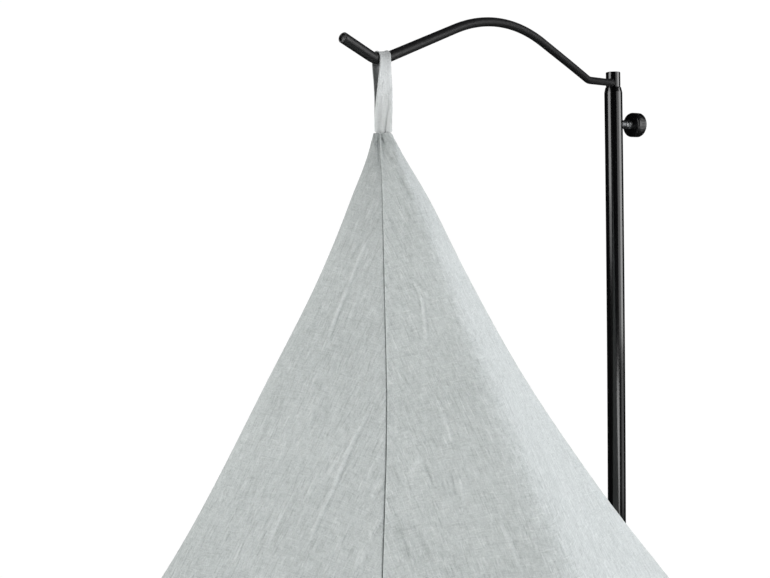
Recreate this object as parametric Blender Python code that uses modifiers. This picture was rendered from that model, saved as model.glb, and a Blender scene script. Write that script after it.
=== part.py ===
"""Bed canopy hanging by its loop from the bent arm of a floor stand.

Metres, +Z up. The origin is on the pole's axis, at the underside of the base plate.
-Y is the side where the canopy's front seam is.
"""
import math

import bmesh
import bpy
import numpy as np
from mathutils import Matrix, Vector

# ---------------------------------------------------------------- driving sizes (m)
FLOOR_GAP = 0.0003          # gap that neighbouring pieces keep

# stand
BASE_RADIUS, BASE_THICK, BASE_EDGE = 0.140, 0.006, 0.0015
POLE_OD, POLE_WALL = 0.025, 0.0015
POLE_TOP = 1.4860           # upper lip of the pole, where it closes in on the top tube
TAPER_LENGTH = 0.0078
LIP_OD = 0.0214
TUBE_OD, TUBE_WALL = 0.020, 0.0015
TUBE_TOP = 1.5075
TUBE_LENGTH = 0.170

# arm: bent in one vertical plane, seen from above it leaves the pole in this direction
ARM_HEADING = 232.7         # degrees from +X towards +Y
ARM_DIAMETER = 0.010
ARM_BENDS = (
    # reach from the pole's axis, height, bend radius
    {"reach": 0.0020, "height": 1.4922, "radius": 0.000},
    {"reach": 0.0868, "height": 1.4868, "radius": 0.045},
    {"reach": 0.3249, "height": 1.5407, "radius": 0.340},
    {"reach": 0.5505, "height": 1.4536, "radius": 0.039},
    {"reach": 0.6012, "height": 1.4680, "radius": 0.000},
)

# clamp
CLAMP_HEIGHT = 1.4335
CLAMP_HEADING = 24.6        # degrees from +X towards +Y
BOSS_OD, BOSS_REACH = 0.0126, 0.0180
SCREW_DIAMETER = 0.0080
FERRULE_OD, FERRULE_START, FERRULE_END = 0.0135, 0.0183, 0.0285
KNOB_OD, KNOB_START, KNOB_END = 0.0350, 0.0288, 0.0460

# cloth
CLOTH = 0.0015
HANG_X, HANG_Y = -0.3298, -0.4337      # the plumb line that the canopy hangs on
SEAM_TOP = 1.3880                      # where the loop is sewn in
SEAM_GAP = 0.0006                      # between the two panels' edges
TOP_HALF_WIDTH, TOP_HALF_DEPTH = 0.0078, 0.0034
HEM_LYING, HEM_BEND = 0.045, 0.030     # hem that lies on the floor, radius of the bend above it

# plan directions of the four soft corner folds, degrees from +X towards +Y
CORNER_HEADING = {"left": 214.0, "front_right": 313.0, "right": 12.0, "back_left": 150.0}
# a row for each level: how far each corner fold stands out from the plumb line,
# and the share of the girth over which the corners are rounded
LEVELS = (
    {"drop": 0.000, "left": 0.0000, "front_right": 0.0000, "right": 0.0000, "back_left": 0.0000, "rounding": 0.110},
    {"drop": 0.020, "left": 0.0056, "front_right": 0.0090, "right": 0.0122, "back_left": 0.0070, "rounding": 0.140},
    {"drop": 0.060, "left": 0.0235, "front_right": 0.0330, "right": 0.0383, "back_left": 0.0250, "rounding": 0.150},
    {"drop": 0.130, "left": 0.0591, "front_right": 0.0740, "right": 0.0758, "back_left": 0.0540, "rounding": 0.120},
    {"drop": 0.220, "left": 0.1147, "front_right": 0.1270, "right": 0.1284, "back_left": 0.0940, "rounding": 0.095},
    {"drop": 0.330, "left": 0.1846, "front_right": 0.1960, "right": 0.2057, "back_left": 0.1420, "rounding": 0.080},
    {"drop": 0.450, "left": 0.2773, "front_right": 0.2720, "right": 0.3021, "back_left": 0.1960, "rounding": 0.070},
    {"drop": 0.800, "left": 0.4850, "front_right": 0.4900, "right": 0.5350, "back_left": 0.3350, "rounding": 0.060},
    {"drop": 1.400, "left": 0.8000, "front_right": 0.8250, "right": 0.8800, "back_left": 0.5500, "rounding": 0.050},
)
# hanging folds below the smooth upper part: place round the girth (0 and 1 are the front seam),
# half width as a share of the girth, how far it stands out at the hem, and the drop where it begins
FOLDS = (
    {"place": 0.055, "width": 0.022, "out": 0.016, "begins": 0.50},
    {"place": 0.110, "width": 0.020, "out": -0.014, "begins": 0.45},
    {"place": 0.240, "width": 0.024, "out": 0.018, "begins": 0.48},
    {"place": 0.295, "width": 0.022, "out": -0.016, "begins": 0.45},
    {"place": 0.430, "width": 0.020, "out": 0.022, "begins": 0.20},
    {"place": 0.475, "width": 0.017, "out": -0.020, "begins": 0.18},
    {"place": 0.530, "width": 0.020, "out": 0.026, "begins": 0.22},
    {"place": 0.580, "width": 0.018, "out": -0.022, "begins": 0.20},
    {"place": 0.635, "width": 0.021, "out": 0.024, "begins": 0.25},
    {"place": 0.760, "width": 0.022, "out": -0.014, "begins": 0.45},
    {"place": 0.890, "width": 0.023, "out": 0.014, "begins": 0.50},
    {"place": 0.945, "width": 0.020, "out": -0.012, "begins": 0.52},
)
# how far the front seam wanders sideways, +X, on its way down
SEAM_BOW = (
    {"drop": 0.000, "side": -0.0030},
    {"drop": 0.016, "side": -0.0022},
    {"drop": 0.037, "side": -0.0008},
    {"drop": 0.061, "side": -0.0001},
    {"drop": 0.105, "side": 0.0009},
    {"drop": 0.146, "side": 0.0019},
    {"drop": 0.186, "side": 0.0029},
    {"drop": 0.224, "side": 0.0036},
    {"drop": 0.254, "side": 0.0033},
    {"drop": 0.296, "side": 0.0020},
    {"drop": 0.347, "side": 0.0002},
    {"drop": 0.420, "side": -0.0012},
    {"drop": 0.620, "side": 0.0006},
    {"drop": 0.900, "side": 0.0000},
    {"drop": 1.400, "side": 0.0000},
)
PANEL_COLUMNS = 30
PANEL_ROWS_HUNG, PANEL_ROWS_BEND, PANEL_ROWS_LYING = 21, 4, 2

# loop
STRAP_WIDTH, STRAP_THICK = 0.0165, 0.0012
STRAP_REACH = 0.5480        # where along the arm it hangs
STRAP_SKEW = 0.0038         # how much nearer to the pole the back leg crosses the arm
STRAP_FOOT = 0.0008         # its foot is sewn in this far to the right of the plumb line
STRAP_BULGE = 0.0012        # and half way up it swings out to the right by this
STRAP_TAIL, TAIL_WIDTH = 0.012, 0.0096
STRAP_TWIST_END = 0.066     # below the arm's centre line, where the loop faces the front


# ---------------------------------------------------------------- scene and materials
for old in list(bpy.data.objects):
    bpy.data.objects.remove(old, do_unlink=True)
parts = bpy.data.collections.new("bed_canopy")
helpers = bpy.data.collections.new("cutters")
for col in (parts, helpers):
    bpy.context.scene.collection.children.link(col)


def material(name, colour, roughness, metallic=0.0):
    m = bpy.data.materials.new(name)
    m.use_nodes = True
    shader = m.node_tree.nodes["Principled BSDF"]
    shader.inputs["Base Color"].default_value = (*colour, 1.0)
    shader.inputs["Roughness"].default_value = roughness
    shader.inputs["Metallic"].default_value = metallic
    m.diffuse_color = (*colour, 1.0)
    return m


LINEN = material("linen", (0.56, 0.60, 0.59), 0.9)
LOOP_LINEN = material("loop_linen", (0.64, 0.67, 0.66), 0.9)
GLOSS_BLACK = material("gloss_black_paint", (0.012, 0.012, 0.013), 0.22)
SATIN_BLACK = material("satin_black_paint", (0.022, 0.022, 0.023), 0.45)
ZINC = material("zinc", (0.55, 0.56, 0.57), 0.35, 1.0)
BLACK_PLASTIC = material("black_plastic", (0.018, 0.018, 0.019), 0.5)


def add_object(name, mesh, mat, smooth=True, collection=parts):
    obj = bpy.data.objects.new(name, mesh)
    collection.objects.link(obj)
    if mat:
        obj.data.materials.append(mat)
    if smooth:
        mesh.shade_smooth()
        mesh.set_sharp_from_angle(angle=math.radians(35))
    return obj


def turned(name, profile, mat, steps, collection=parts):
    """A closed turned body: a ring of (radius, height) points, down the outer side first."""
    bm = bmesh.new()
    points = [bm.verts.new((r, 0, z)) for r, z in profile]
    on_axis = profile[0][0] == 0 and profile[-1][0] == 0
    for a, b in zip(points, points[1:] + ([] if on_axis else points[:1])):
        bm.edges.new((a, b))
    mesh = bpy.data.meshes.new(name)
    bm.to_mesh(mesh)
    bm.free()
    obj = add_object(name, mesh, mat, collection=collection)
    screw = obj.modifiers.new("turn", "SCREW")
    screw.axis, screw.angle = "Z", math.tau
    screw.steps = screw.render_steps = steps
    screw.use_merge_vertices, screw.merge_threshold = True, 0.00001
    screw.use_smooth_shade = True
    return obj


def cutter(name, radius, depth, matrix, sides=32):
    bm = bmesh.new()
    bmesh.ops.create_cone(bm, cap_ends=True, segments=sides, radius1=radius, radius2=radius, depth=depth)
    mesh = bpy.data.meshes.new(name)
    bm.to_mesh(mesh)
    bm.free()
    obj = add_object(name, mesh, None, smooth=False, collection=helpers)
    obj.matrix_world = matrix
    obj.hide_render = True
    obj.display_type = "WIRE"
    return obj


def cut(obj, tool):
    mod = obj.modifiers.new("cut_" + tool.name, "BOOLEAN")
    mod.operation, mod.solver, mod.object = "DIFFERENCE", "EXACT", tool


def along(origin, direction):
    """Places a body that is built along +Z so that it runs along a direction."""
    return Matrix.Translation(origin) @ Vector(direction).to_track_quat("Z", "Y").to_matrix().to_4x4()


# ---------------------------------------------------------------- stand
r, t, e = BASE_RADIUS, BASE_THICK, BASE_EDGE
turned("base_plate", [(0, t), (r - e, t), (r - e * 0.3, t - e * 0.3), (r, t - e), (r, 0.0004), (r - 0.0004, 0), (0, 0)], GLOSS_BLACK, 72)

ro, ri = POLE_OD / 2, POLE_OD / 2 - POLE_WALL
foot = BASE_THICK + FLOOR_GAP
lip_o, lip_i = LIP_OD / 2, TUBE_OD / 2 + FLOOR_GAP
shoulder = POLE_TOP - TAPER_LENGTH
pole = turned(
    "pole",
    [
        (lip_o, POLE_TOP), (lip_o + 0.0005, POLE_TOP - 0.0015), (ro - 0.0004, shoulder + 0.0015), (ro, shoulder),
        (ro, foot), (ri, foot), (ri, shoulder - 0.001), (lip_i, POLE_TOP - 0.003), (lip_i, POLE_TOP),
    ],
    GLOSS_BLACK,
    40,
)
to, ti = TUBE_OD / 2, TUBE_OD / 2 - TUBE_WALL
top_tube = turned(
    "top_tube",
    [
        (0, TUBE_TOP), (to - 0.0008, TUBE_TOP), (to - 0.0002, TUBE_TOP - 0.0003), (to, TUBE_TOP - 0.0009),
        (to, TUBE_TOP - TUBE_LENGTH), (ti, TUBE_TOP - TUBE_LENGTH), (ti, TUBE_TOP - 0.002), (0, TUBE_TOP - 0.002),
    ],
    GLOSS_BLACK,
    40,
)


def bent_line(bends, step_angle=math.radians(5)):
    """The centre line of a bent rod: straight runs joined by arcs, as (reach, height) points."""
    P = [np.array([b["reach"], b["height"]]) for b in bends]
    line = [P[0]]
    for k in range(1, len(P) - 1):
        a, b, c = P[k - 1], P[k], P[k + 1]
        u, v = (a - b) / np.linalg.norm(a - b), (c - b) / np.linalg.norm(c - b)
        turn = math.pi - math.acos(float(u @ v))
        radius = bends[k]["radius"]
        back = radius * math.tan(turn / 2)
        centre = b + (u + v) / np.linalg.norm(u + v) * radius / math.cos(turn / 2)
        start, end = b + u * back - centre, b + v * back - centre
        n = max(3, math.ceil(turn / step_angle))
        for i in range(n + 1):
            w = i / n
            p = (start * math.sin((1 - w) * turn) + end * math.sin(w * turn)) / math.sin(turn)
            line.append(centre + p)
    return line + [P[-1]]


arm_dir = np.array([math.cos(math.radians(ARM_HEADING)), math.sin(math.radians(ARM_HEADING))])
arm_line = [Vector((*(arm_dir * p[0]), p[1])) for p in bent_line(ARM_BENDS)]
curve = bpy.data.curves.new("arm_line", "CURVE")
curve.dimensions = "3D"
curve.bevel_depth, curve.bevel_resolution = ARM_DIAMETER / 2, 3
curve.use_fill_caps = True
curve.twist_mode = "Z_UP"
spline = curve.splines.new("POLY")
spline.points.add(len(arm_line) - 1)
for point, p in zip(spline.points, arm_line):
    point.co = (*p, 1)
arm = bpy.data.objects.new("arm", curve)
parts.objects.link(arm)
curve.materials.append(SATIN_BLACK)

start = arm_line[0]
heading = (arm_line[1] - arm_line[0]).normalized()
cut(top_tube, cutter("arm_hole", ARM_DIAMETER / 2 + FLOOR_GAP, 0.030, along(start + heading * 0.014, heading), 28))

# ---------------------------------------------------------------- clamp
clamp_dir = Vector((math.cos(math.radians(CLAMP_HEADING)), math.sin(math.radians(CLAMP_HEADING)), 0))
clamp_at = Vector((0, 0, CLAMP_HEIGHT))
clamp_place = along(clamp_at, clamp_dir)
bore = SCREW_DIAMETER / 2 + FLOOR_GAP

boss = turned(
    "clamp_boss",
    [(BOSS_OD / 2 - 0.0006, BOSS_REACH), (BOSS_OD / 2, BOSS_REACH - 0.0006), (BOSS_OD / 2, 0.0090), (bore, 0.0090), (bore, BOSS_REACH)],
    ZINC,
    32,
)
boss.matrix_world = clamp_place
cut(boss, cutter("boss_saddle", ro + FLOOR_GAP, 0.060, Matrix.Translation(clamp_at), 80))
cut(pole, cutter("screw_hole", bore, 0.030, along(clamp_at + clamp_dir * 0.015, clamp_dir), 28))

screw_tip = TUBE_OD / 2 + FLOOR_GAP
screw_r = SCREW_DIAMETER / 2
clamp_screw = turned(
    "clamp_screw",
    [
        (0, KNOB_START + 0.0070), (screw_r, KNOB_START + 0.0070), (screw_r, FERRULE_END), (FERRULE_OD / 2 - 0.0005, FERRULE_END),
        (FERRULE_OD / 2, FERRULE_END - 0.0005), (FERRULE_OD / 2, FERRULE_START + 0.0005), (FERRULE_OD / 2 - 0.0005, FERRULE_START),
        (screw_r, FERRULE_START), (screw_r, screw_tip + 0.0008), (screw_r - 0.0008, screw_tip), (0, screw_tip),
    ],
    ZINC,
    28,
)
clamp_screw.matrix_world = clamp_place

kr, ks, ke = KNOB_OD / 2, KNOB_START, KNOB_END
knob = turned(
    "clamp_knob",
    [
        (0, ke), (kr * 0.62, ke), (kr * 0.86, ke - 0.0006), (kr * 0.965, ke - 0.0019), (kr, ke - 0.0038),
        (kr, ks + 0.0050), (kr * 0.965, ks + 0.0030), (kr * 0.86, ks + 0.0010), (kr * 0.70, ks), (bore, ks), (bore, ks + 0.0073), (0, ks + 0.0073),
    ],
    BLACK_PLASTIC,
    40,
)
knob.matrix_world = clamp_place


# ---------------------------------------------------------------- cloth: the canopy's sections
def column(rows, key):
    return np.array([row[key] for row in rows], float)


def read_column(x, xs, ys):
    """Value at x of a column of the table, on a smooth curve that doesn't overshoot its rows."""
    slope = np.diff(ys) / np.diff(xs)
    m = np.empty(len(xs))
    m[0], m[-1] = slope[0], slope[-1]
    for k in range(1, len(xs) - 1):
        a, b = slope[k - 1], slope[k]
        wa, wb = 2 * (xs[k + 1] - xs[k]) + (xs[k] - xs[k - 1]), (xs[k + 1] - xs[k]) + 2 * (xs[k] - xs[k - 1])
        m[k] = 0.0 if a * b <= 0 else (wa + wb) / (wa / a + wb / b)
    i = min(max(int(np.searchsorted(xs, x)) - 1, 0), len(xs) - 2)
    w = xs[i + 1] - xs[i]
    t = (x - xs[i]) / w
    return (2 * t**3 - 3 * t**2 + 1) * ys[i] + (t**3 - 2 * t**2 + t) * w * m[i] + (3 * t**2 - 2 * t**3) * ys[i + 1] + (t**3 - t**2) * w * m[i + 1]


DROPS = column(LEVELS, "drop")


def outline(drop, dense=720):
    """The canopy's closed section at one drop, counter-clockwise from above, round the plumb line."""
    corner = []
    for name, deg in CORNER_HEADING.items():
        out = read_column(drop, DROPS, column(LEVELS, name))
        c, s = math.cos(math.radians(deg)), math.sin(math.radians(deg))
        corner.append((math.copysign(TOP_HALF_WIDTH, c) + out * c, math.copysign(TOP_HALF_DEPTH, s) + out * s))
    corner = np.array(corner)
    side = np.roll(corner, -1, axis=0) - corner
    length = np.linalg.norm(side, axis=1)
    reached = np.concatenate([[0], np.cumsum(length)])
    s = np.arange(dense) / dense * reached[-1]
    i = np.clip(np.searchsorted(reached, s, side="right") - 1, 0, 3)
    p = corner[i] + side[i] * ((s - reached[i]) / length[i])[:, None]
    soft = read_column(drop, DROPS, column(LEVELS, "rounding"))
    bell = np.bartlett(2 * int(round(soft * dense / 2)) + 3)[1:-1]
    bell /= bell.sum()
    half = len(bell) // 2
    p = np.concatenate([p[-half:], p, p[:half]])
    return np.stack([np.convolve(p[:, k], bell, "valid") for k in (0, 1)], 1)


def seam_side(drop):
    return read_column(drop, column(SEAM_BOW, "drop"), column(SEAM_BOW, "side"))


def girth_line(drop, columns):
    """2*columns+1 evenly spaced points from the front seam, round the right side to the back seam, and back by the left."""
    p = outline(drop)
    seam = seam_side(drop)
    x, y = p[:, 0], p[:, 1]
    after = np.roll(x, -1)
    front = next(k for k in np.flatnonzero((x <= seam) & (after > seam)) if y[k] < 0)
    back = next(k for k in np.flatnonzero((x >= 0) & (after < 0)) if y[k] > 0)

    def crossing(k, at):
        a, b = p[k], p[(k + 1) % len(p)]
        return a + (b - a) * ((at - a[0]) / (b[0] - a[0]))

    def run(first, last, start, end):
        n = (last - first) % len(p)
        c = np.vstack([start, p[(first + 1 + np.arange(n)) % len(p)], end])
        d = np.concatenate([[0], np.cumsum(np.linalg.norm(np.diff(c, axis=0), axis=1))])
        t = np.linspace(0, d[-1], columns + 1)
        return np.stack([np.interp(t, d, c[:, k]) for k in (0, 1)], 1), d[-1]

    right, right_length = run(front, back, crossing(front, seam), crossing(back, 0.0))
    left, left_length = run(back, front, crossing(back, 0.0), crossing(front, seam))
    share = right_length / (right_length + left_length)
    place = np.concatenate([np.linspace(0, share, columns + 1), np.linspace(share, 1, columns + 1)[1:]])
    return np.vstack([right, left[1:]]), place


def smoothstep(x):
    x = min(max(x, 0.0), 1.0)
    return x * x * (3 - 2 * x)


def stand_out(place, drop):
    """How far the hanging folds push the wall out at one place."""
    total = 0.0
    for fold in FOLDS:
        away = (place - fold["place"] + 0.5) % 1.0 - 0.5
        grown = smoothstep((drop - fold["begins"]) / 0.85)
        total += fold["out"] * grown * math.exp(-((away / fold["width"]) ** 2))
    calm = 1 - math.exp(-((min(place, 1 - place) / 0.012) ** 2))
    return total * calm


def outward(ring):
    """Unit directions square to the girth line, pointing out."""
    step = np.roll(ring, -1, axis=0) - np.roll(ring, 1, axis=0)
    n = np.stack([step[:, 1], -step[:, 0]], 1)
    return n / np.linalg.norm(n, axis=1)[:, None]


HUNG_TO = SEAM_TOP - CLOTH / 2 - HEM_BEND * 0.47      # drop where the cloth starts to turn onto the floor


def level(drop, columns):
    """One level of the canopy's middle surface, as (x, y) round the plumb line."""
    ring, place = girth_line(drop, columns)
    closed = ring[:-1]
    n = outward(closed)
    out = np.array([stand_out(w, drop) for w in place[:-1]])
    closed = closed + n * out[:, None]
    return closed, n


SPREAD = [HUNG_TO * (k / PANEL_ROWS_HUNG) ** 1.35 for k in range(PANEL_ROWS_HUNG + 1)]


def canopy_rows(columns):
    """Rows of points from the top seam down and out along the floor: an array [row, place round the girth, xyz]."""
    rows = []
    spread = SPREAD
    for drop in spread:
        xy, n = level(drop, columns)
        rows.append(np.column_stack([xy, np.full(len(xy), -drop)]))
    before, _ = level(HUNG_TO - 0.02, columns)
    lean = np.linalg.norm(rows[-1][:, :2] - before, axis=1) / 0.02
    steep = np.arctan2(1.0, lean)                         # angle below the horizontal
    floor = SEAM_TOP - CLOTH / 2
    for k in range(1, PANEL_ROWS_BEND + 1):
        left_over = steep * (1 - k / PANEL_ROWS_BEND)
        # an arc whose own radius makes it end on the floor
        radius = (floor - HUNG_TO) / (1 - np.cos(steep))
        xy = rows[PANEL_ROWS_HUNG][:, :2] + n * (radius * (np.sin(steep) - np.sin(left_over)))[:, None]
        z = -HUNG_TO - radius * (np.cos(left_over) - np.cos(steep))
        rows.append(np.column_stack([xy, z]))
    for k in range(1, PANEL_ROWS_LYING + 1):
        xy = rows[PANEL_ROWS_HUNG + PANEL_ROWS_BEND][:, :2] + n * (HEM_LYING * k / PANEL_ROWS_LYING)
        rows.append(np.column_stack([xy, np.full(len(xy), -floor)]))
    return np.array(rows)


def panel(name, rows, mat):
    """One cut piece: an open sheet through rows of points, made thick."""
    bm = bmesh.new()
    grid = [[bm.verts.new((x + HANG_X, y + HANG_Y, z + SEAM_TOP)) for x, y, z in row] for row in rows]
    for a, b in zip(grid, grid[1:]):
        for k in range(len(a) - 1):
            bm.faces.new((a[k], b[k], b[k + 1], a[k + 1]))
    bm.normal_update()
    mesh = bpy.data.meshes.new(name)
    bm.to_mesh(mesh)
    bm.free()
    obj = add_object(name, mesh, mat)
    thick = obj.modifiers.new("cloth", "SOLIDIFY")
    thick.thickness, thick.offset = CLOTH, 0.0
    thick.use_even_offset = True
    return obj


surface = canopy_rows(PANEL_COLUMNS)
right_rows = surface[:, : PANEL_COLUMNS + 1].copy()
left_rows = np.concatenate([surface[:, PANEL_COLUMNS:], surface[:, :1]], axis=1)
front_seam = np.array([seam_side(drop) for drop in SPREAD] + [0.0] * (PANEL_ROWS_BEND + PANEL_ROWS_LYING))
for rows, side, front, back in ((right_rows, 1, 0, -1), (left_rows, -1, -1, 0)):
    rows[:, front, 0] = front_seam + side * SEAM_GAP / 2
    rows[:, back, 0] = side * SEAM_GAP / 2
panel("panel_right", right_rows, LINEN)
panel("panel_left", left_rows, LINEN)


# ---------------------------------------------------------------- cloth: the loop
def strap_grid(across):
    """Rows of points along the loop, from one tail up, over the arm and down to the other."""
    hang = np.array([*(arm_dir * STRAP_REACH), 0.0])
    line = np.array([(p.x, p.y, p.z) for p in arm_line])
    reach = line[:, :2] @ arm_dir
    foot_at = np.array([HANG_X + STRAP_FOOT, HANG_Y, 0.0])
    around = ARM_DIAMETER / 2 + 0.0004 + STRAP_THICK / 2
    steep = 1.07                                  # the sloping arm is this much taller than wide in an upright cut
    together = 0.00015 + STRAP_THICK / 2
    arm_angle = math.radians(ARM_HEADING - 180)

    def arm_height(side):
        """Height of the arm's centre line under one point of the strap's width; side is measured towards the pole."""
        return float(np.interp(STRAP_REACH - side, reach, line[:, 2]))

    middle_z = arm_height(0.0)
    leg = middle_z - SEAM_TOP
    rows = []
    # one leg, from its tail up to the level of the arm's centre line
    for k in range(-3, 15):
        down = -k * STRAP_TAIL / 3 if k < 0 else 0.0
        up = leg * k / 14 if k > 0 else 0.0
        turn = arm_angle * (1 - smoothstep((leg - up) / STRAP_TWIST_END))
        w = up / leg
        half = (STRAP_WIDTH if up > 0.002 else TAIL_WIDTH) / 2
        out = np.array([math.sin(turn), -math.cos(turn), 0.0]) * (together + (around - together) * w)
        wide = np.array([math.cos(turn), math.sin(turn), 0.0])
        middle = foot_at * (1 - w) + hang * w + np.array([STRAP_BULGE * math.sin(math.pi * w) ** 2, 0, SEAM_TOP + up - down])
        rows.append((middle, out, wide, half, w**2))
    sides = [2 * k / across - 1 for k in range(across + 1)]

    def leg_row(row, sign):
        middle, out, wide, half, follow = row
        over = STRAP_SKEW * follow if sign < 0 else 0.0
        return [middle + out * sign + wide * (half * k + over) + np.array([0, 0, (arm_height(half * k + over) - middle_z) * follow]) for k in sides]

    grid = [leg_row(row, 1) for row in rows]
    out = np.array([math.sin(arm_angle), -math.cos(arm_angle), 0.0])
    wide = np.array([math.cos(arm_angle), math.sin(arm_angle), 0.0])
    half = STRAP_WIDTH / 2
    for k in range(1, 8):
        a = math.pi * k / 8
        over = STRAP_SKEW * k / 8
        grid.append([hang + out * around * math.cos(a) + wide * (half * c + over) + np.array([0, 0, arm_height(half * c + over) + around * steep * math.sin(a)]) for c in sides])
    return grid + [leg_row(row, -1) for row in reversed(rows)]


bm = bmesh.new()
across = 4
grid = [[bm.verts.new(p) for p in row] for row in strap_grid(across)]
for a, b in zip(grid, grid[1:]):
    for k in range(across):
        bm.faces.new((a[k], a[k + 1], b[k + 1], b[k]))
bm.normal_update()
mesh = bpy.data.meshes.new("hanging_loop")
bm.to_mesh(mesh)
bm.free()
strap = add_object("hanging_loop", mesh, LOOP_LINEN)
thick = strap.modifiers.new("cloth", "SOLIDIFY")
thick.thickness, thick.offset = STRAP_THICK, 0.0
thick.use_even_offset = False
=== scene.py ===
"""Looks of a linen bed canopy that hangs by its loop from the bent arm of a floor stand.

Metres, +Z up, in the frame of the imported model: the origin is on the pole's axis at the
underside of the base plate, and -Y is the side of the canopy's front seam.
"""
import math

import bpy
import numpy as np
from mathutils import Matrix, Vector


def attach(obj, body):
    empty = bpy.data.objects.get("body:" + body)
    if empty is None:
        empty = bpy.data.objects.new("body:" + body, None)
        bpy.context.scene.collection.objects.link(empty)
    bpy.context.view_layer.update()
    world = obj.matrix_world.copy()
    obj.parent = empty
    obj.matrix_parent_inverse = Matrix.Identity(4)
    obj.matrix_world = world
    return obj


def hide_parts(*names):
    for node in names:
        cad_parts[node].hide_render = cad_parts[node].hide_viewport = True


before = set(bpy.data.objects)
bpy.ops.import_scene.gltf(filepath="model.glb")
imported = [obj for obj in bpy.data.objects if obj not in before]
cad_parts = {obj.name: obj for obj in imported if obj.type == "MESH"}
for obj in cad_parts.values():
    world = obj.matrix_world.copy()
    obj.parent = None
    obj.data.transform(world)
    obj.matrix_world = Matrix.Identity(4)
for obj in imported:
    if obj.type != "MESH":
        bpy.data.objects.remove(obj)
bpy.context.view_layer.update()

# ---------------------------------------------------------------- sizes (m)
BASE_RADIUS, BASE_THICK, BASE_EDGE = 0.140, 0.006, 0.0015
POLE_BOW, POLE_LEAN = 0.0047, 0.0016       # sideways: half way up, and at the top
POLE_OD, POLE_WALL, POLE_TOP = 0.025, 0.0015, 1.4860
TAPER_LENGTH, LIP_OD = 0.0078, 0.0214
TUBE_OD, TUBE_WALL, TUBE_TOP, TUBE_LENGTH = 0.020, 0.0015, 1.5075, 0.170
GAP = 0.0003

ARM_HEADING, ARM_DIAMETER = 232.7, 0.010
ARM_BENDS = (
    # reach from the pole's axis, height, bend radius
    {"reach": 0.0020, "height": 1.4922, "radius": 0.000},
    {"reach": 0.0868, "height": 1.4868, "radius": 0.045},
    {"reach": 0.3249, "height": 1.5407, "radius": 0.340},
    {"reach": 0.5505, "height": 1.4536, "radius": 0.039},
    {"reach": 0.6012, "height": 1.4680, "radius": 0.000},
)

CLAMP_HEIGHT, CLAMP_HEADING = 1.4335, 24.6
BOSS_OD, BOSS_REACH, SCREW_DIAMETER = 0.0126, 0.0180, 0.0080
FERRULE_OD, FERRULE_START, FERRULE_END = 0.0135, 0.0183, 0.0285
KNOB_OD, KNOB_START, KNOB_END = 0.0350, 0.0288, 0.0460

SOLID_CLOTH = 0.0015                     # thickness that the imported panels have
LINEN_THICK = 0.0009                     # thickness that shows
HANG_X, HANG_Y, SEAM_TOP = -0.3298, -0.4337, 1.3880
TOP_HALF_WIDTH, TOP_HALF_DEPTH = 0.0078, 0.0034
HEM_LYING, HEM_BEND = 0.045, 0.030
CORNER_HEADING = {"left": 214.0, "front_right": 313.0, "right": 12.0, "back_left": 150.0}
LEVELS = (
    {"drop": 0.000, "left": 0.0000, "front_right": 0.0000, "right": 0.0000, "back_left": 0.0000, "rounding": 0.110},
    {"drop": 0.020, "left": 0.0056, "front_right": 0.0090, "right": 0.0122, "back_left": 0.0070, "rounding": 0.140},
    {"drop": 0.060, "left": 0.0235, "front_right": 0.0330, "right": 0.0383, "back_left": 0.0250, "rounding": 0.150},
    {"drop": 0.130, "left": 0.0591, "front_right": 0.0740, "right": 0.0758, "back_left": 0.0540, "rounding": 0.120},
    {"drop": 0.220, "left": 0.1147, "front_right": 0.1270, "right": 0.1284, "back_left": 0.0940, "rounding": 0.095},
    {"drop": 0.330, "left": 0.1846, "front_right": 0.1960, "right": 0.2057, "back_left": 0.1420, "rounding": 0.080},
    {"drop": 0.450, "left": 0.2773, "front_right": 0.2720, "right": 0.3021, "back_left": 0.1960, "rounding": 0.070},
    {"drop": 0.800, "left": 0.4850, "front_right": 0.4900, "right": 0.5350, "back_left": 0.3350, "rounding": 0.060},
    {"drop": 1.400, "left": 0.8000, "front_right": 0.8250, "right": 0.8800, "back_left": 0.5500, "rounding": 0.050},
)
FOLDS = (
    {"place": 0.055, "width": 0.022, "out": 0.016, "begins": 0.50},
    {"place": 0.110, "width": 0.020, "out": -0.014, "begins": 0.45},
    {"place": 0.240, "width": 0.024, "out": 0.018, "begins": 0.48},
    {"place": 0.295, "width": 0.022, "out": -0.016, "begins": 0.45},
    {"place": 0.430, "width": 0.020, "out": 0.022, "begins": 0.20},
    {"place": 0.475, "width": 0.017, "out": -0.020, "begins": 0.18},
    {"place": 0.530, "width": 0.020, "out": 0.026, "begins": 0.22},
    {"place": 0.580, "width": 0.018, "out": -0.022, "begins": 0.20},
    {"place": 0.635, "width": 0.021, "out": 0.024, "begins": 0.25},
    {"place": 0.760, "width": 0.022, "out": -0.014, "begins": 0.45},
    {"place": 0.890, "width": 0.023, "out": 0.014, "begins": 0.50},
    {"place": 0.945, "width": 0.020, "out": -0.012, "begins": 0.52},
)
# how far the front seam wanders sideways, +X, on its way down
SEAM_BOW = (
    {"drop": 0.000, "side": -0.0030},
    {"drop": 0.016, "side": -0.0022},
    {"drop": 0.037, "side": -0.0008},
    {"drop": 0.061, "side": -0.0001},
    {"drop": 0.105, "side": 0.0009},
    {"drop": 0.146, "side": 0.0019},
    {"drop": 0.186, "side": 0.0029},
    {"drop": 0.224, "side": 0.0036},
    {"drop": 0.254, "side": 0.0033},
    {"drop": 0.296, "side": 0.0020},
    {"drop": 0.347, "side": 0.0002},
    {"drop": 0.420, "side": -0.0012},
    {"drop": 0.620, "side": 0.0006},
    {"drop": 0.900, "side": 0.0000},
    {"drop": 1.400, "side": 0.0000},
)

STRAP_WIDTH, STRAP_THICK = 0.0165, 0.0012
STRAP_REACH, STRAP_SKEW, STRAP_FOOT, STRAP_BULGE = 0.5480, 0.0038, 0.0008, 0.0012
STRAP_TAIL, TAIL_WIDTH, STRAP_TWIST_END = 0.012, 0.0096, 0.066

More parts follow.
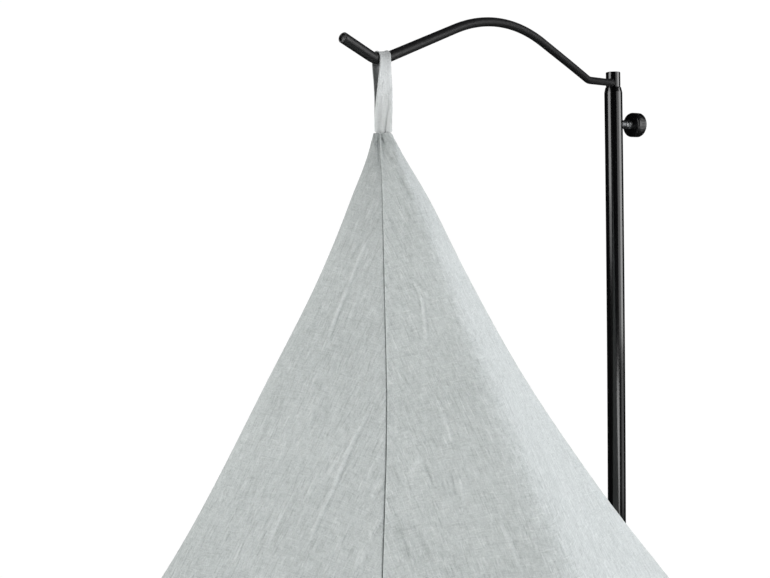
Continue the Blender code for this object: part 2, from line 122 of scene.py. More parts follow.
# the drag lines and dents that show, each listed one by one. From and to are (distance from the front
# seam, drop down the cloth); width is a half width; height is of the ridge, and a trough is negative;
# lee is the side of a ridge's companion trough: -1 towards the seam, 1 away from it
# their heights also set the painted highlight on the ridges and the painted shade in the troughs
CREASES = {
    "panel_left": (
        {"from": (0.0071, 0.2220), "to": (0.0268, 0.2560), "width": 0.0013, "height": 0.00045, "lee": -1},
        {"from": (0.0200, 0.2420), "to": (0.0447, 0.3000), "width": 0.0014, "height": 0.00075, "lee": -1},
        {"from": (0.0390, 0.2870), "to": (0.0600, 0.3340), "width": 0.0014, "height": 0.00055, "lee": -1},
        {"from": (0.0489, 0.2140), "to": (0.0680, 0.2520), "width": 0.0013, "height": 0.00040, "lee": -1},
        {"from": (0.0370, 0.2660), "to": (0.0482, 0.2840), "width": 0.0011, "height": 0.00050, "lee": 1},
        {"from": (0.0010, 0.2580), "to": (0.0165, 0.2880), "width": 0.0013, "height": 0.00045, "lee": -1},
        {"from": (0.0022, 0.2840), "to": (0.0138, 0.3020), "width": 0.0013, "height": 0.00055, "lee": -1},
        {"from": (0.0012, 0.3080), "to": (0.0124, 0.3290), "width": 0.0012, "height": 0.00080, "lee": -1},
        {"from": (0.0100, 0.3250), "to": (0.0185, 0.3480), "width": 0.0014, "height": 0.00045, "lee": -1},
        {"from": (0.0126, 0.3280), "to": (0.0240, 0.3520), "width": 0.0015, "height": 0.00040, "lee": -1},
        {"from": (0.0700, 0.2900), "to": (0.0960, 0.3420), "width": 0.0018, "height": 0.00040, "lee": -1},
        {"from": (0.0180, 0.1300), "to": (0.0330, 0.1700), "width": 0.0014, "height": 0.00030, "lee": -1},
        {"from": (0.0060, 0.1660), "to": (0.0150, 0.1960), "width": 0.0012, "height": 0.00028, "lee": -1},
        {"from": (0.0086, 0.0320), "to": (0.0026, 0.0285), "width": 0.0019, "height": -0.00055, "lee": 0},
        {"from": (0.0105, 0.0400), "to": (0.0040, 0.0365), "width": 0.0024, "height": 0.00030, "lee": 0},
        {"from": (0.0012, 0.0040), "to": (0.0034, 0.0150), "width": 0.0007, "height": -0.00070, "lee": 0},
        {"from": (0.0014, 0.0020), "to": (0.0019, 0.0330), "width": 0.0008, "height": -0.00055, "lee": 0},
        {"from": (0.0030, 0.0010), "to": (0.0058, 0.0100), "width": 0.0009, "height": -0.00060, "lee": 0},
        {"from": (0.0119, 0.0920), "to": (0.0330, 0.1400), "width": 0.0012, "height": 0.00050, "lee": -1},
        {"from": (0.0290, 0.1310), "to": (0.0513, 0.1840), "width": 0.0013, "height": 0.00065, "lee": -1},
        {"from": (0.0023, 0.1310), "to": (0.0069, 0.1410), "width": 0.0011, "height": 0.00050, "lee": -1},
        {"from": (0.0211, 0.0955), "to": (0.0321, 0.1135), "width": 0.0012, "height": 0.00045, "lee": -1},
        {"from": (0.0104, 0.1100), "to": (0.0177, 0.1220), "width": 0.0011, "height": 0.00045, "lee": -1},
    ),
    "panel_right": (
        {"from": (0.0042, 0.0060), "to": (0.0066, 0.0180), "width": 0.0009, "height": -0.00085, "lee": 0},
        {"from": (0.0060, 0.0150), "to": (0.0116, 0.0290), "width": 0.0010, "height": -0.00095, "lee": 0},
        {"from": (0.0080, 0.0150), "to": (0.0132, 0.0270), "width": 0.0011, "height": 0.00050, "lee": 0},
        {"from": (0.0160, 0.0380), "to": (0.0270, 0.0640), "width": 0.0018, "height": -0.00050, "lee": 0},
        {"from": (0.0012, 0.2700), "to": (0.0160, 0.2880), "width": 0.0012, "height": -0.00040, "lee": 0},
        {"from": (0.0300, 0.2690), "to": (0.0392, 0.2850), "width": 0.0011, "height": -0.00055, "lee": 0},
        {"from": (0.0520, 0.2740), "to": (0.0565, 0.2940), "width": 0.0011, "height": -0.00050, "lee": 0},
        {"from": (0.0579, 0.2760), "to": (0.0615, 0.2960), "width": 0.0010, "height": 0.00045, "lee": 0},
        {"from": (0.0285, 0.2600), "to": (0.0150, 0.2870), "width": 0.0022, "height": 0.00040, "lee": 0},
        {"from": (0.0080, 0.3050), "to": (0.0230, 0.3400), "width": 0.0015, "height": -0.00040, "lee": 0},
        {"from": (0.0400, 0.2200), "to": (0.0560, 0.2620), "width": 0.0015, "height": 0.00030, "lee": 1},
        {"from": (0.0210, 0.1200), "to": (0.0350, 0.1640), "width": 0.0013, "height": -0.00028, "lee": 0},
        {"from": (0.0860, 0.3000), "to": (0.1080, 0.3480), "width": 0.0018, "height": 0.00040, "lee": 1},
        {"from": (0.0014, 0.0030), "to": (0.0050, 0.0095), "width": 0.0009, "height": -0.00080, "lee": 0},
        {"from": (0.0058, 0.0005), "to": (0.0092, 0.0120), "width": 0.0009, "height": -0.00080, "lee": 0},
        {"from": (0.0204, 0.0445), "to": (0.0259, 0.0537), "width": 0.0011, "height": 0.00050, "lee": 0},
        {"from": (0.0050, 0.0757), "to": (0.0142, 0.0920), "width": 0.0013, "height": -0.00045, "lee": 0},
        {"from": (0.0212, 0.1275), "to": (0.0400, 0.1460), "width": 0.0013, "height": 0.00050, "lee": 1},
        {"from": (0.0313, 0.1375), "to": (0.0343, 0.1840), "width": 0.0013, "height": 0.00045, "lee": 1},
    ),
}

# painted shade in the lengthwise folds of the loop above its foot: place across it (-1 to 1) at the foot and further
# up, how dark the shade is, how wide it is across the loop and how far up it reaches
STRAP_FOLD_SHADES = (
    {"foot": 0.10, "above": 0.55, "settles": 0.016, "depth": 0.42, "width": 0.17, "reach": 0.043},
    {"foot": -0.50, "above": -0.42, "settles": 0.016, "depth": 0.30, "width": 0.28, "reach": 0.026},
)

# how the grain lies against the front seam, in degrees, in each panel
GRAIN = {"panel_left": -23.0, "panel_right": 22.0}


# ---------------------------------------------------------------- reading the tables
def column(rows, key):
    return np.array([row[key] for row in rows], float)


def read_column(x, xs, ys):
    """Value at x of a column of the table, on a smooth curve that doesn't overshoot its rows."""
    slope = np.diff(ys) / np.diff(xs)
    m = np.empty(len(xs))
    m[0], m[-1] = slope[0], slope[-1]
    for k in range(1, len(xs) - 1):
        a, b = slope[k - 1], slope[k]
        wa, wb = 2 * (xs[k + 1] - xs[k]) + (xs[k] - xs[k - 1]), (xs[k + 1] - xs[k]) + 2 * (xs[k] - xs[k - 1])
        m[k] = 0.0 if a * b <= 0 else (wa + wb) / (wa / a + wb / b)
    i = min(max(int(np.searchsorted(xs, x)) - 1, 0), len(xs) - 2)
    w = xs[i + 1] - xs[i]
    t = (x - xs[i]) / w
    return (2 * t**3 - 3 * t**2 + 1) * ys[i] + (t**3 - 2 * t**2 + t) * w * m[i] + (3 * t**2 - 2 * t**3) * ys[i + 1] + (t**3 - t**2) * w * m[i + 1]


def smooth(x):
    x = np.clip(x, 0.0, 1.0)
    return x * x * (3 - 2 * x)


# ---------------------------------------------------------------- the canopy's sections
DROPS = column(LEVELS, "drop")
DENSE = 1440
HALF = 720


def outline(drop):
    corner = []
    for name, deg in CORNER_HEADING.items():
        out = read_column(drop, DROPS, column(LEVELS, name))
        c, s = math.cos(math.radians(deg)), math.sin(math.radians(deg))
        corner.append((math.copysign(TOP_HALF_WIDTH, c) + out * c, math.copysign(TOP_HALF_DEPTH, s) + out * s))
    corner = np.array(corner)
    side = np.roll(corner, -1, axis=0) - corner
    length = np.linalg.norm(side, axis=1)
    reached = np.concatenate([[0], np.cumsum(length)])
    s = np.arange(DENSE) / DENSE * reached[-1]
    i = np.clip(np.searchsorted(reached, s, side="right") - 1, 0, 3)
    p = corner[i] + side[i] * ((s - reached[i]) / length[i])[:, None]
    soft = read_column(drop, DROPS, column(LEVELS, "rounding"))
    bell = np.bartlett(2 * int(round(soft * DENSE / 2)) + 3)[1:-1]
    bell /= bell.sum()
    half = len(bell) // 2
    p = np.concatenate([p[-half:], p, p[:half]])
    return np.stack([np.convolve(p[:, k], bell, "valid") for k in (0, 1)], 1)


def seam_side(drop):
    return read_column(drop, column(SEAM_BOW, "drop"), column(SEAM_BOW, "side"))


def girth_line(drop):
    """Points from the front seam round the right side to the back seam, and back by the left."""
    p = outline(drop)
    seam = seam_side(drop)
    x, y = p[:, 0], p[:, 1]
    after = np.roll(x, -1)
    front = next(k for k in np.flatnonzero((x <= seam) & (after > seam)) if y[k] < 0)
    back = next(k for k in np.flatnonzero((x >= 0) & (after < 0)) if y[k] > 0)

    def crossing(k, at):
        a, b = p[k], p[(k + 1) % len(p)]
        return a + (b - a) * ((at - a[0]) / (b[0] - a[0]))

    def run(first, last, start, end):
        n = (last - first) % len(p)
        c = np.vstack([start, p[(first + 1 + np.arange(n)) % len(p)], end])
        d = np.concatenate([[0], np.cumsum(np.linalg.norm(np.diff(c, axis=0), axis=1))])
        t = np.linspace(0, d[-1], HALF + 1)
        return np.stack([np.interp(t, d, c[:, k]) for k in (0, 1)], 1), d[-1]

    right, right_length = run(front, back, crossing(front, seam), crossing(back, 0.0))
    left, left_length = run(back, front, crossing(back, 0.0), crossing(front, seam))
    share = right_length / (right_length + left_length)
    place = np.concatenate([np.linspace(0, share, HALF + 1), np.linspace(share, 1, HALF + 1)[1:]])
    return np.vstack([right, left[1:]]), place


def stand_out(place, drop):
    total = np.zeros(len(place))
    for fold in FOLDS:
        away = (place - fold["place"] + 0.5) % 1.0 - 0.5
        grown = float(smooth((drop - fold["begins"]) / 0.85))
        total += fold["out"] * grown * np.exp(-((away / fold["width"]) ** 2))
    calm = 1 - np.exp(-((np.minimum(place, 1 - place) / 0.012) ** 2))
    return total * calm


def ring_at(drop):
    """The closed middle line of the cloth at one drop, its outward directions and the place round the girth."""
    ring, place = girth_line(drop)
    step = np.roll(ring[:-1], -1, axis=0) - np.roll(ring[:-1], 1, axis=0)
    n = np.stack([step[:, 1], -step[:, 0]], 1)
    n /= np.linalg.norm(n, axis=1)[:, None]
    n = np.vstack([n, n[:1]])
    return ring + n * stand_out(place, drop)[:, None], n


HUNG_TO = SEAM_TOP - SOLID_CLOTH / 2 - HEM_BEND * 0.47

# rows of the cloth, as the drop of each: fine where the top is gathered and down the part seen from near by
TURNED_IN = [0.0080, 0.0052, 0.0028, 0.0013]      # the top edge, turned in and sewn
ROLL = 0.00049                                    # radius of that turn
FOLD_OVER = [(0.0005 - ROLL * math.cos(math.radians(a)), -ROLL + ROLL * math.sin(math.radians(a))) for a in (-90, -60, -30, 0, 30, 60, 90)]


def hung_drops():
    drops, d = [], 0.0009
    while d < 0.0200:
        drops.append(d)
        d += 0.0010
    while d < 0.3700:
        drops.append(d)
        d += 0.00225
    step = 0.0025
    while d < HUNG_TO - step * 0.6:
        drops.append(d)
        step = min(step * 1.035, 0.0150)
        d += step
    drops.append(HUNG_TO)
    return drops


LYING = (0.003, 0.007, 0.012, 0.017, 0.021, 0.0236, 0.0245, 0.0250, 0.0255, 0.0262, 0.029, 0.034, 0.039, 0.0425, 0.0440, 0.0447, 0.0450)
BEND_ROWS = 12
HEM_STEP = 0.0250                                  # where the turned-up hem's inner edge lies


def dense_rows(drops):
    """Rings for each drop, then the bend onto the floor and the part that lies on it: [row, place, xyz]."""
    rows = []
    for drop in drops:
        ring, n = ring_at(drop)
        rows.append(np.column_stack([ring, np.full(len(ring), -drop)]))
    last = rows[-1][:, :2]
    before, _ = ring_at(HUNG_TO - 0.02)
    lean = np.linalg.norm(last - before, axis=1) / 0.02
    steep = np.arctan2(1.0, lean)
    floor = SEAM_TOP - SOLID_CLOTH / 2
    radius = (floor - HUNG_TO) / (1 - np.cos(steep))
    for k in range(1, BEND_ROWS + 1):
        left_over = steep * (1 - k / BEND_ROWS)
        xy = last + n * (radius * (np.sin(steep) - np.sin(left_over)))[:, None]
        rows.append(np.column_stack([xy, -HUNG_TO - radius * (np.cos(left_over) - np.cos(steep))]))
    end = rows[-1][:, :2]
    for out in LYING:
        rows.append(np.column_stack([end + n * out, np.full(len(end), -floor)]))
    return np.array(rows)


# the sewn edge in section: distance from the seam, and height over the cloth's surface
SEAM_SECTION = (
    (0.00072, -0.0085), (0.00072, -0.0055), (0.00072, -0.0032), (0.00072, -0.0019), (0.00074, -0.00120), (0.00082, -0.00074),
    (0.00102, -0.00034), (0.00135, -0.00008), (0.0018, 0.00006), (0.0024, 0.00012), (0.0034, 0.00013), (0.0050, 0.0001),
    (0.0070, 0.00006), (0.0095, 0.00002), (0.0125, 0.0),
)
# shares of a panel's girth, from the front seam, and how many columns each has: most in the part that is creased
BANDS = ({"to": 0.165, "columns": 92}, {"to": 0.50, "columns": 62}, {"to": 1.00, "columns": 40})
MIDDLE_COLUMNS = sum(band["columns"] for band in BANDS)


def middle_shares():
    """Shares of the middle part's width, one for each column, with steps that change little by little."""
    steps, done = [], 0.0
    for band in BANDS:
        steps += [(band["to"] - done) / band["columns"]] * band["columns"]
        done = band["to"]
    soft = np.ones(25) / 25
    steps = np.convolve(np.pad(steps, 12, mode="edge"), soft, "valid")
    shares = np.concatenate([[0], np.cumsum(steps)])
    return shares / shares[-1]


SHARES = middle_shares()


def column_places(girth, drop):
    """Distance from the front seam and height over the surface for each column of a panel's row."""
    s = np.array([a for a, _ in SEAM_SECTION])
    h = np.array([b for _, b in SEAM_SECTION])
    # the flange inside is cut short at the gathered top and above the floor
    depth = float(smooth((drop - 0.02) / 0.10)) * (1 - float(smooth((drop - (HUNG_TO - 0.12)) / 0.10)))
    h = np.where(h < -0.0009, -0.0009 - (-0.0009 - h) * (0.25 + 0.75 * depth), h)
    # the seam opens a little on its way down
    top = 1 - float(smooth((drop - 0.02) / 0.10))
    s = np.where(s < 0.0018, np.maximum(s - 0.00022 - 0.00016 * top + 0.00020 * float(smooth((drop - 0.12) / 0.20)), 0.00026), s)
    h = np.where(h < 0, h * (1 - 0.55 * top), h)
    reach = min(1.0, 0.40 * girth / s[-1])
    s = np.where(s > 0.0020, 0.0020 + (s - 0.0020) * reach, s)
    inner = s[-1] + (girth - 2 * s[-1]) * SHARES
    return np.concatenate([s, inner[1:-1], girth - s[::-1]]), np.concatenate([h, np.zeros(MIDDLE_COLUMNS - 1), h[::-1]])


def grid_normals(p):
    """Unit normals of a grid [row, column, xyz]; rows run down and columns to the right as seen from outside."""
    down = np.empty_like(p)
    down[1:-1], down[0], down[-1] = p[2:] - p[:-2], p[1] - p[0], p[-1] - p[-2]
    over = np.empty_like(p)
    over[:, 1:-1], over[:, 0], over[:, -1] = p[:, 2:] - p[:, :-2], p[:, 1] - p[:, 0], p[:, -1] - p[:, -2]
    n = np.cross(down, over)
    return n / np.maximum(np.linalg.norm(n, axis=2), 1e-12)[..., None]


def waves(x, parts):
    """A sum of sines: (wavelength, height, phase) each."""
    return sum(h * np.sin(2 * math.pi * x / w + ph) for w, h, ph in parts)


def relief(name, s, drop, girth, flat):
    """How far the cloth stands off its smooth section: gathers, puckers, creases and slack; and the heights of creases
    and gathers that the material turns into painted highlight and painted shade.
    """
    side = 1 if name == "panel_right" else -1
    out = np.zeros_like(s)
    # gathers below the stitched top
    share = s / girth
    gather = waves(s, ((0.0049, 0.55, 0.4 * side), (0.0031, 0.40, 1.9), (0.0083, 0.50, 2.6 * side)))
    away = smooth(s / 0.0020) * smooth((girth - s) / 0.0020)
    front = 1 - 0.85 * smooth((share - 0.20) / 0.12) * smooth((0.80 - share) / 0.12)
    gather = gather * np.exp(-np.maximum(drop - 0.004, 0) / 0.013) * away * front
    out += 0.00110 * gather
    # longer folds that some gathers run into
    long_folds = waves(share, ((0.31, 0.6, 0.7 + side), (0.19, 0.5, 2.2 * side)))
    out += 0.00100 * long_folds * np.exp(-(((drop - 0.018) / 0.026) ** 2)) * away * front
    # puckers along both seams, uneven and slanted down away from the seam
    for edge, sign in ((s, 1.0), (girth - s, -0.7)):
        slanted = drop - 1.6 * edge
        beat = 0.5 + 0.5 * np.sin(2 * math.pi * slanted / 0.137 + 1.1 * side)
        pucker = waves(slanted, ((0.0232, 0.6, 0.3 + side), (0.0147, 0.4, 2.0), (0.0411, 0.7, 1.0 * side)))
        out += 0.00070 * sign * beat * pucker * smooth(edge / 0.0025) * np.exp(-edge / 0.018) * smooth((drop - 0.03) / 0.08)
    # slack in the wide part
    along, across = flat[..., 1], flat[..., 0]
    slack = waves(across + 0.13 * along, ((0.171, 0.5, 1.3 * side), (0.097, 0.3, 0.2), (0.263, 0.6, 2.1))) * (0.7 + 0.3 * np.sin(along / 0.083 + side))
    edge_share = smooth(s / 0.06) * smooth((girth - s) / 0.06)
    out += 0.0008 * slack * smooth((drop - 0.06) / 0.25) * edge_share
    # drag lines, listed one by one
    drawn = np.zeros_like(s)
    pulled = 0.00080 * gather
    for crease in CREASES[name]:
        a, b = np.array(crease["from"]), np.array(crease["to"])
        d = b - a
        length = np.linalg.norm(d)
        d /= length
        px, py = s - a[0], drop - a[1]
        t = (px * d[0] + py * d[1]) / length
        bow = 0.02 * length * np.sin(math.pi * np.clip(t, 0, 1))
        q = (px * d[1] - py * d[0] - bow) / crease["width"]
        fade = smooth(t / 0.25) * smooth((1 - t) / 0.35)
        shape = np.exp(-(q**2))
        if crease["lee"]:
            shape -= 0.5 * np.exp(-(((q - 1.8 * crease["lee"]) / 1.1) ** 2))
        drawn += crease["height"] * fade * shape
    return out + 1.4 * drawn, drawn + pulled


def weave_places(s, drop, name):
    """The cloth laid flat: (across the grain, along the grain, from the front seam, down) for each point."""
    slant = drop * 1.13 + 0.06                      # distance from the point that the panel's sides would meet in
    turn = s / slant
    x, y = slant * np.sin(turn), slant * np.cos(turn) - 0.06
    g = math.radians(abs(GRAIN[name]))
    along = x * math.sin(g) + y * math.cos(g)
    across = x * math.cos(g) - y * math.sin(g)
    return np.stack([across, along, x, y], -1)


def add_mesh(name, points, faces, mat, smooth_faces=True, attributes=()):
    mesh = bpy.data.meshes.new(name)
    mesh.from_pydata([tuple(p) for p in points], [], faces)
    for key, values in attributes:
        layer = mesh.attributes.new(key, "FLOAT_VECTOR", "POINT")
        layer.data.foreach_set("vector", np.ascontiguousarray(values, np.float32).ravel())
    mesh.validate()
    mesh.update()
    if smooth_faces:
        mesh.shade_smooth()
    obj = bpy.data.objects.new(name, mesh)
    bpy.context.scene.collection.objects.link(obj)
    if mat:
        mesh.materials.append(mat)
    return obj


def closed_sheet(name, outer, inner, mat, flip, attributes):
    """A thick sheet: a fine grid for its face, every second point of it for its back, and a rim that joins them."""
    rows, cols = outer.shape[:2]
    index = np.arange(rows * cols).reshape(rows, cols)
    back = rows * cols + np.arange(inner.shape[0] * inner.shape[1]).reshape(inner.shape[:2])
    faces = []

    def quads(grid, turned):
        a, b, c, d = grid[:-1, :-1], grid[1:, :-1], grid[1:, 1:], grid[:-1, 1:]
        q = np.stack([a, b, c, d], -1).reshape(-1, 4)
        return (q[:, ::-1] if turned else q).tolist()

    faces += quads(index, flip)
    faces += quads(back, not flip)

    def rim(front, rear, turned):
        for k in range(len(rear) - 1):
            f = [front[2 * k], front[2 * k + 1], front[2 * k + 2], rear[k + 1], rear[k]]
            faces.append([int(v) for v in (f[::-1] if turned else f)])

    rim(index[0], back[0], flip)
    rim(index[-1], back[-1], not flip)
    rim(index[:, 0], back[:, 0], not flip)
    rim(index[:, -1], back[:, -1], flip)
    points = np.concatenate([outer.reshape(-1, 3), inner.reshape(-1, 3)])
    packed = [(key, np.concatenate([v.reshape(-1, 3), v[::2, ::2].reshape(-1, 3)])) for key, v in attributes]
    return add_mesh(name, points, faces, mat, attributes=packed)


def make_panels(mat):
    drops = sorted(set([round(d, 6) for d in TURNED_IN] + [round(d, 6) for d, _ in FOLD_OVER] + [round(d, 6) for d in hung_drops()]))
    picked_turn = [(drops.index(round(d, 6)), -2 * ROLL) for d in TURNED_IN] + [(drops.index(round(d, 6)), h) for d, h in FOLD_OVER]
    hung = [(drops.index(round(d, 6)), 0.0) for d in hung_drops()]
    dense = dense_rows(drops)
    dense_normals = grid_normals(dense)
    dense_normals[:, 0] = dense_normals[:, -1] = (dense_normals[:, 1] + dense_normals[:, -2]) / 2
    lying_from = len(drops) + BEND_ROWS
    rest = [(k, 0.0) for k in range(len(drops), len(dense))]
    order = picked_turn + hung + rest
    if len(order) % 2 == 0:
        order.pop(len(picked_turn) + len(hung) - 3)
    made = {}
    halves = (("panel_right", dense[:, : HALF + 1], dense_normals[:, : HALF + 1]), ("panel_left", dense[:, HALF:][:, ::-1], dense_normals[:, HALF:][:, ::-1]))
    for name, run, run_normals in halves:
        side = 1 if name == "panel_right" else -1
        count = 2 * len(SEAM_SECTION) + MIDDLE_COLUMNS - 1
        place, n = np.zeros((len(run), count, 3)), np.zeros((len(run), count, 3))
        s, h, girths = np.zeros((len(run), count)), np.zeros((len(run), count)), np.zeros(len(run))
        for r, line in enumerate(run):
            step = np.linalg.norm(np.diff(line[:, :2], axis=0), axis=1)
            d = np.concatenate([[0], np.cumsum(step)])
            drop = drops[r] if r < len(drops) else HUNG_TO
            s[r], h[r] = column_places(d[-1], drop)
            girths[r] = d[-1]
            place[r] = np.stack([np.interp(s[r], d, line[:, k]) for k in range(3)], 1)
            n[r] = np.stack([np.interp(s[r], d, run_normals[r][:, k]) for k in range(3)], 1)
        drop_of = -place[..., 2]
        # distance down the cloth: it goes on counting over the bend and along the floor
        down = np.concatenate([[0], np.cumsum(np.linalg.norm(np.diff(place[:, count // 3], axis=0), axis=1))])
        down = down / down[len(drops) - 1] * HUNG_TO
        walked = np.repeat(down[:, None], count, 1)
        flat = weave_places(s, walked, name)
        lift, drawn = relief(name, s, walked, girths[:, None], flat)
        lift[lying_from:] *= 0.0
        for k in range(BEND_ROWS):
            lift[len(drops) + k] *= 1 - (k + 1) / BEND_ROWS
        surface = place + n * (lift + h)[..., None]
        # fold the top edge in
        flipped = surface if side > 0 else surface[:, ::-1]
        n = grid_normals(flipped)
        n = n if side > 0 else n[:, ::-1]
        rows = np.array([k for k, _ in order])
        turn = np.array([t for _, t in order])
        surface = surface[rows] + n[rows] * turn[:, None, None]
        flat = flat[rows]
        flipped = surface if side > 0 else surface[:, ::-1]
        n = grid_normals(flipped)
        n = n if side > 0 else n[:, ::-1]
        # thickness: three layers where the hem is turned up
        thick = np.full(len(order), LINEN_THICK)
        for j, k in enumerate(rows):
            if k >= lying_from:
                out = LYING[k - lying_from]
                thick[j] += 0.0016 * float(smooth((out - (HEM_STEP - 0.0006)) / 0.0012))
                left = HEM_LYING - out
                if left < 0.0012:
                    thick[j] *= math.sqrt(max(0.06, 1 - ((0.0012 - left) / 0.0012) ** 2))
        outer = surface + n * thick[:, None, None] / 2
        inner = surface - n * thick[:, None, None] / 2
        lying = rows >= lying_from
        settle = np.zeros(len(order))
        low = inner[lying][:, :, 2] + SEAM_TOP
        shift = np.zeros((len(order), count))
        shift[lying] = 0.00005 - low
        bend = (rows >= len(drops)) & (rows < lying_from)
        first = shift[lying][0]
        weight = np.array([(rows[j] - len(drops) + 1) / (BEND_ROWS + 1) for j in np.flatnonzero(bend)])
        shift[bend] = weight[:, None] * first
        outer[..., 2] += shift
        inner[..., 2] += shift
        at = np.array([HANG_X, HANG_Y, SEAM_TOP])
        outer, inner = outer + at, inner[::2, ::2] + at
        # crease heights, turned into painted highlight on ridges and painted shade in troughs
        crease_highlight_shade = np.clip(drawn[rows] / 0.0006, -1.5, 1.5)
        attributes = [
            ("flat", np.stack([flat[..., 0], flat[..., 1], np.full(flat.shape[:2], 0.37 * side)], -1)),
            # painted shade: darker at the gathered top and, more broadly, down from it, most on the left panel
            ("painted_light", np.stack([np.exp(-walked[rows] / 0.030), np.exp(-walked[rows] / 0.130) * (1.0 if side < 0 else 0.45), crease_highlight_shade], -1)),
        ]
        obj = closed_sheet(name + "_linen", outer, inner, mat, side < 0, attributes)
        made[name] = (obj, outer, n, rows, girths, walked, s)
    return made, drops, lying_from


# ---------------------------------------------------------------- the arm's line
def bent_line(bends, step_angle):
    P = [np.array([b["reach"], b["height"]]) for b in bends]
    line = [P[0]]
    for k in range(1, len(P) - 1):
        a, b, c = P[k - 1], P[k], P[k + 1]
        u, v = (a - b) / np.linalg.norm(a - b), (c - b) / np.linalg.norm(c - b)
        turn = math.pi - math.acos(float(u @ v))
        radius = bends[k]["radius"]
        back = radius * math.tan(turn / 2)
        centre = b + (u + v) / np.linalg.norm(u + v) * radius / math.cos(turn / 2)
        start, end = b + u * back - centre, b + v * back - centre
        n = max(3, math.ceil(turn / step_angle))
        for i in range(n + 1):
            w = i / n
            line.append(centre + (start * math.sin((1 - w) * turn) + end * math.sin(w * turn)) / math.sin(turn))
    return line + [P[-1]]


ARM_DIR = np.array([math.cos(math.radians(ARM_HEADING)), math.sin(math.radians(ARM_HEADING))])
COARSE_ARM = np.array([(*(ARM_DIR * p[0]), p[1]) for p in bent_line(ARM_BENDS, math.radians(5))])
FINE_ARM = np.array([(*(ARM_DIR * p[0]), p[1]) for p in bent_line(ARM_BENDS, math.radians(1.2))])


def swept(name, stations, mat, cap=True, attributes=()):
    """A closed body through rings of points."""
    stations = np.array(stations)
    n, m = stations.shape[:2]
    index = np.arange(n * m).reshape(n, m)
    faces = []
    for a, b in zip(index, index[1:]):
        for k in range(m):
            faces.append((int(a[k]), int(a[(k + 1) % m]), int(b[(k + 1) % m]), int(b[k])))
    if cap:
        faces.append([int(v) for v in index[0][::-1]])
        faces.append([int(v) for v in index[-1]])
    return add_mesh(name, stations.reshape(-1, 3), faces, mat, attributes=attributes)


def make_arm(mat):
    sides = 40
    line = FINE_ARM
    step = np.diff(line, axis=0)
    keep = np.concatenate([[True], np.linalg.norm(step, axis=1) > 1e-5])
    line = line[keep]
    # straight runs get stations of their own, so that long faces stay narrow
    fuller = [line[0]]
    for a, b in zip(line, line[1:]):
        k = max(1, int(np.linalg.norm(b - a) / 0.006))
        fuller += [a + (b - a) * (i + 1) / k for i in range(k)]
    line = np.array(fuller)
    run = np.concatenate([[0], np.cumsum(np.linalg.norm(np.diff(line, axis=0), axis=1))])
    total = run[-1]
    # the free end is cut square with its edge broken
    edge = 0.0009
    ends = [total - edge * (1 - math.sin(math.radians(a))) for a in (0, 22, 45, 68, 90)]
    radii = [ARM_DIAMETER / 2 - edge * (1 - math.cos(math.radians(a))) for a in (0, 22, 45, 68, 90)]
    inside = run < total - edge * 1.05
    plug = [(total, 0.0038), (total - 0.0002, 0.0036), (total - 0.0016, 0.0035), (total - 0.0018, 0.0033), (total - 0.0016, 0.0020), (total - 0.0014, 0.0008)]
    places = [(run[k], ARM_DIAMETER / 2) for k in np.flatnonzero(inside)] + list(zip(ends, radii)) + plug
    side = np.array([-ARM_DIR[1], ARM_DIR[0], 0.0])
    rings = []
    for d, r in places:
        p = np.array([np.interp(d, run, line[:, k]) for k in range(3)])
        q = np.array([np.interp(min(d + 0.0015, total), run, line[:, k]) for k in range(3)]) - np.array([np.interp(max(d - 0.0015, 0), run, line[:, k]) for k in range(3)])
        q /= np.linalg.norm(q)
        up = np.cross(side, q)
        up = up if up[2] > 0 else -up
        ring = [p + r * (math.cos(t) * side + math.sin(t) * up) for t in np.arange(sides) * 2 * math.pi / sides]
        rings.append(ring)
    obj = swept("arm_rod", rings, mat)
    fix_outward(obj)
    obj.data.set_sharp_from_angle(angle=math.radians(50))
    return obj


def fix_outward(obj):
    """Turns every face so that it points out of the closed body."""
    import bmesh

    bm = bmesh.new()
    bm.from_mesh(obj.data)
    bmesh.ops.recalc_face_normals(bm, faces=bm.faces)
    bm.to_mesh(obj.data)
    bm.free()
    obj.data.update()


def turned(name, profile, mat, steps, place=None, ribs=None):
    """A turned body from (radius, height) points that run round it; ribs(radius, height, angle) changes the radius."""
    rings, caps = [], []
    angles = np.arange(steps) * 2 * math.pi / steps
    points, index, faces = [], [], []
    for r, z in profile:
        if r == 0:
            index.append([len(points)])
            points.append((0, 0, z))
        else:
            index.append(list(range(len(points), len(points) + steps)))
            for a in angles:
                rr = ribs(r, z, a) if ribs else r
                points.append((rr * math.cos(a), rr * math.sin(a), z))
    closed = profile[0][0] != 0
    pairs = list(zip(index, index[1:])) + ([(index[-1], index[0])] if closed else [])
    for a, b in pairs:
        for k in range(steps):
            j = (k + 1) % steps
            if len(a) == 1 and len(b) == 1:
                break
            if len(a) == 1:
                faces.append((a[0], b[k], b[j]))
            elif len(b) == 1:
                faces.append((a[k], b[0], a[j]))
            else:
                faces.append((a[k], b[k], b[j], a[j]))
    obj = add_mesh(name, points, faces, mat)
    if place is not None:
        obj.data.transform(place)
    fix_outward(obj)
    obj.data.set_sharp_from_angle(angle=math.radians(32))
    return obj


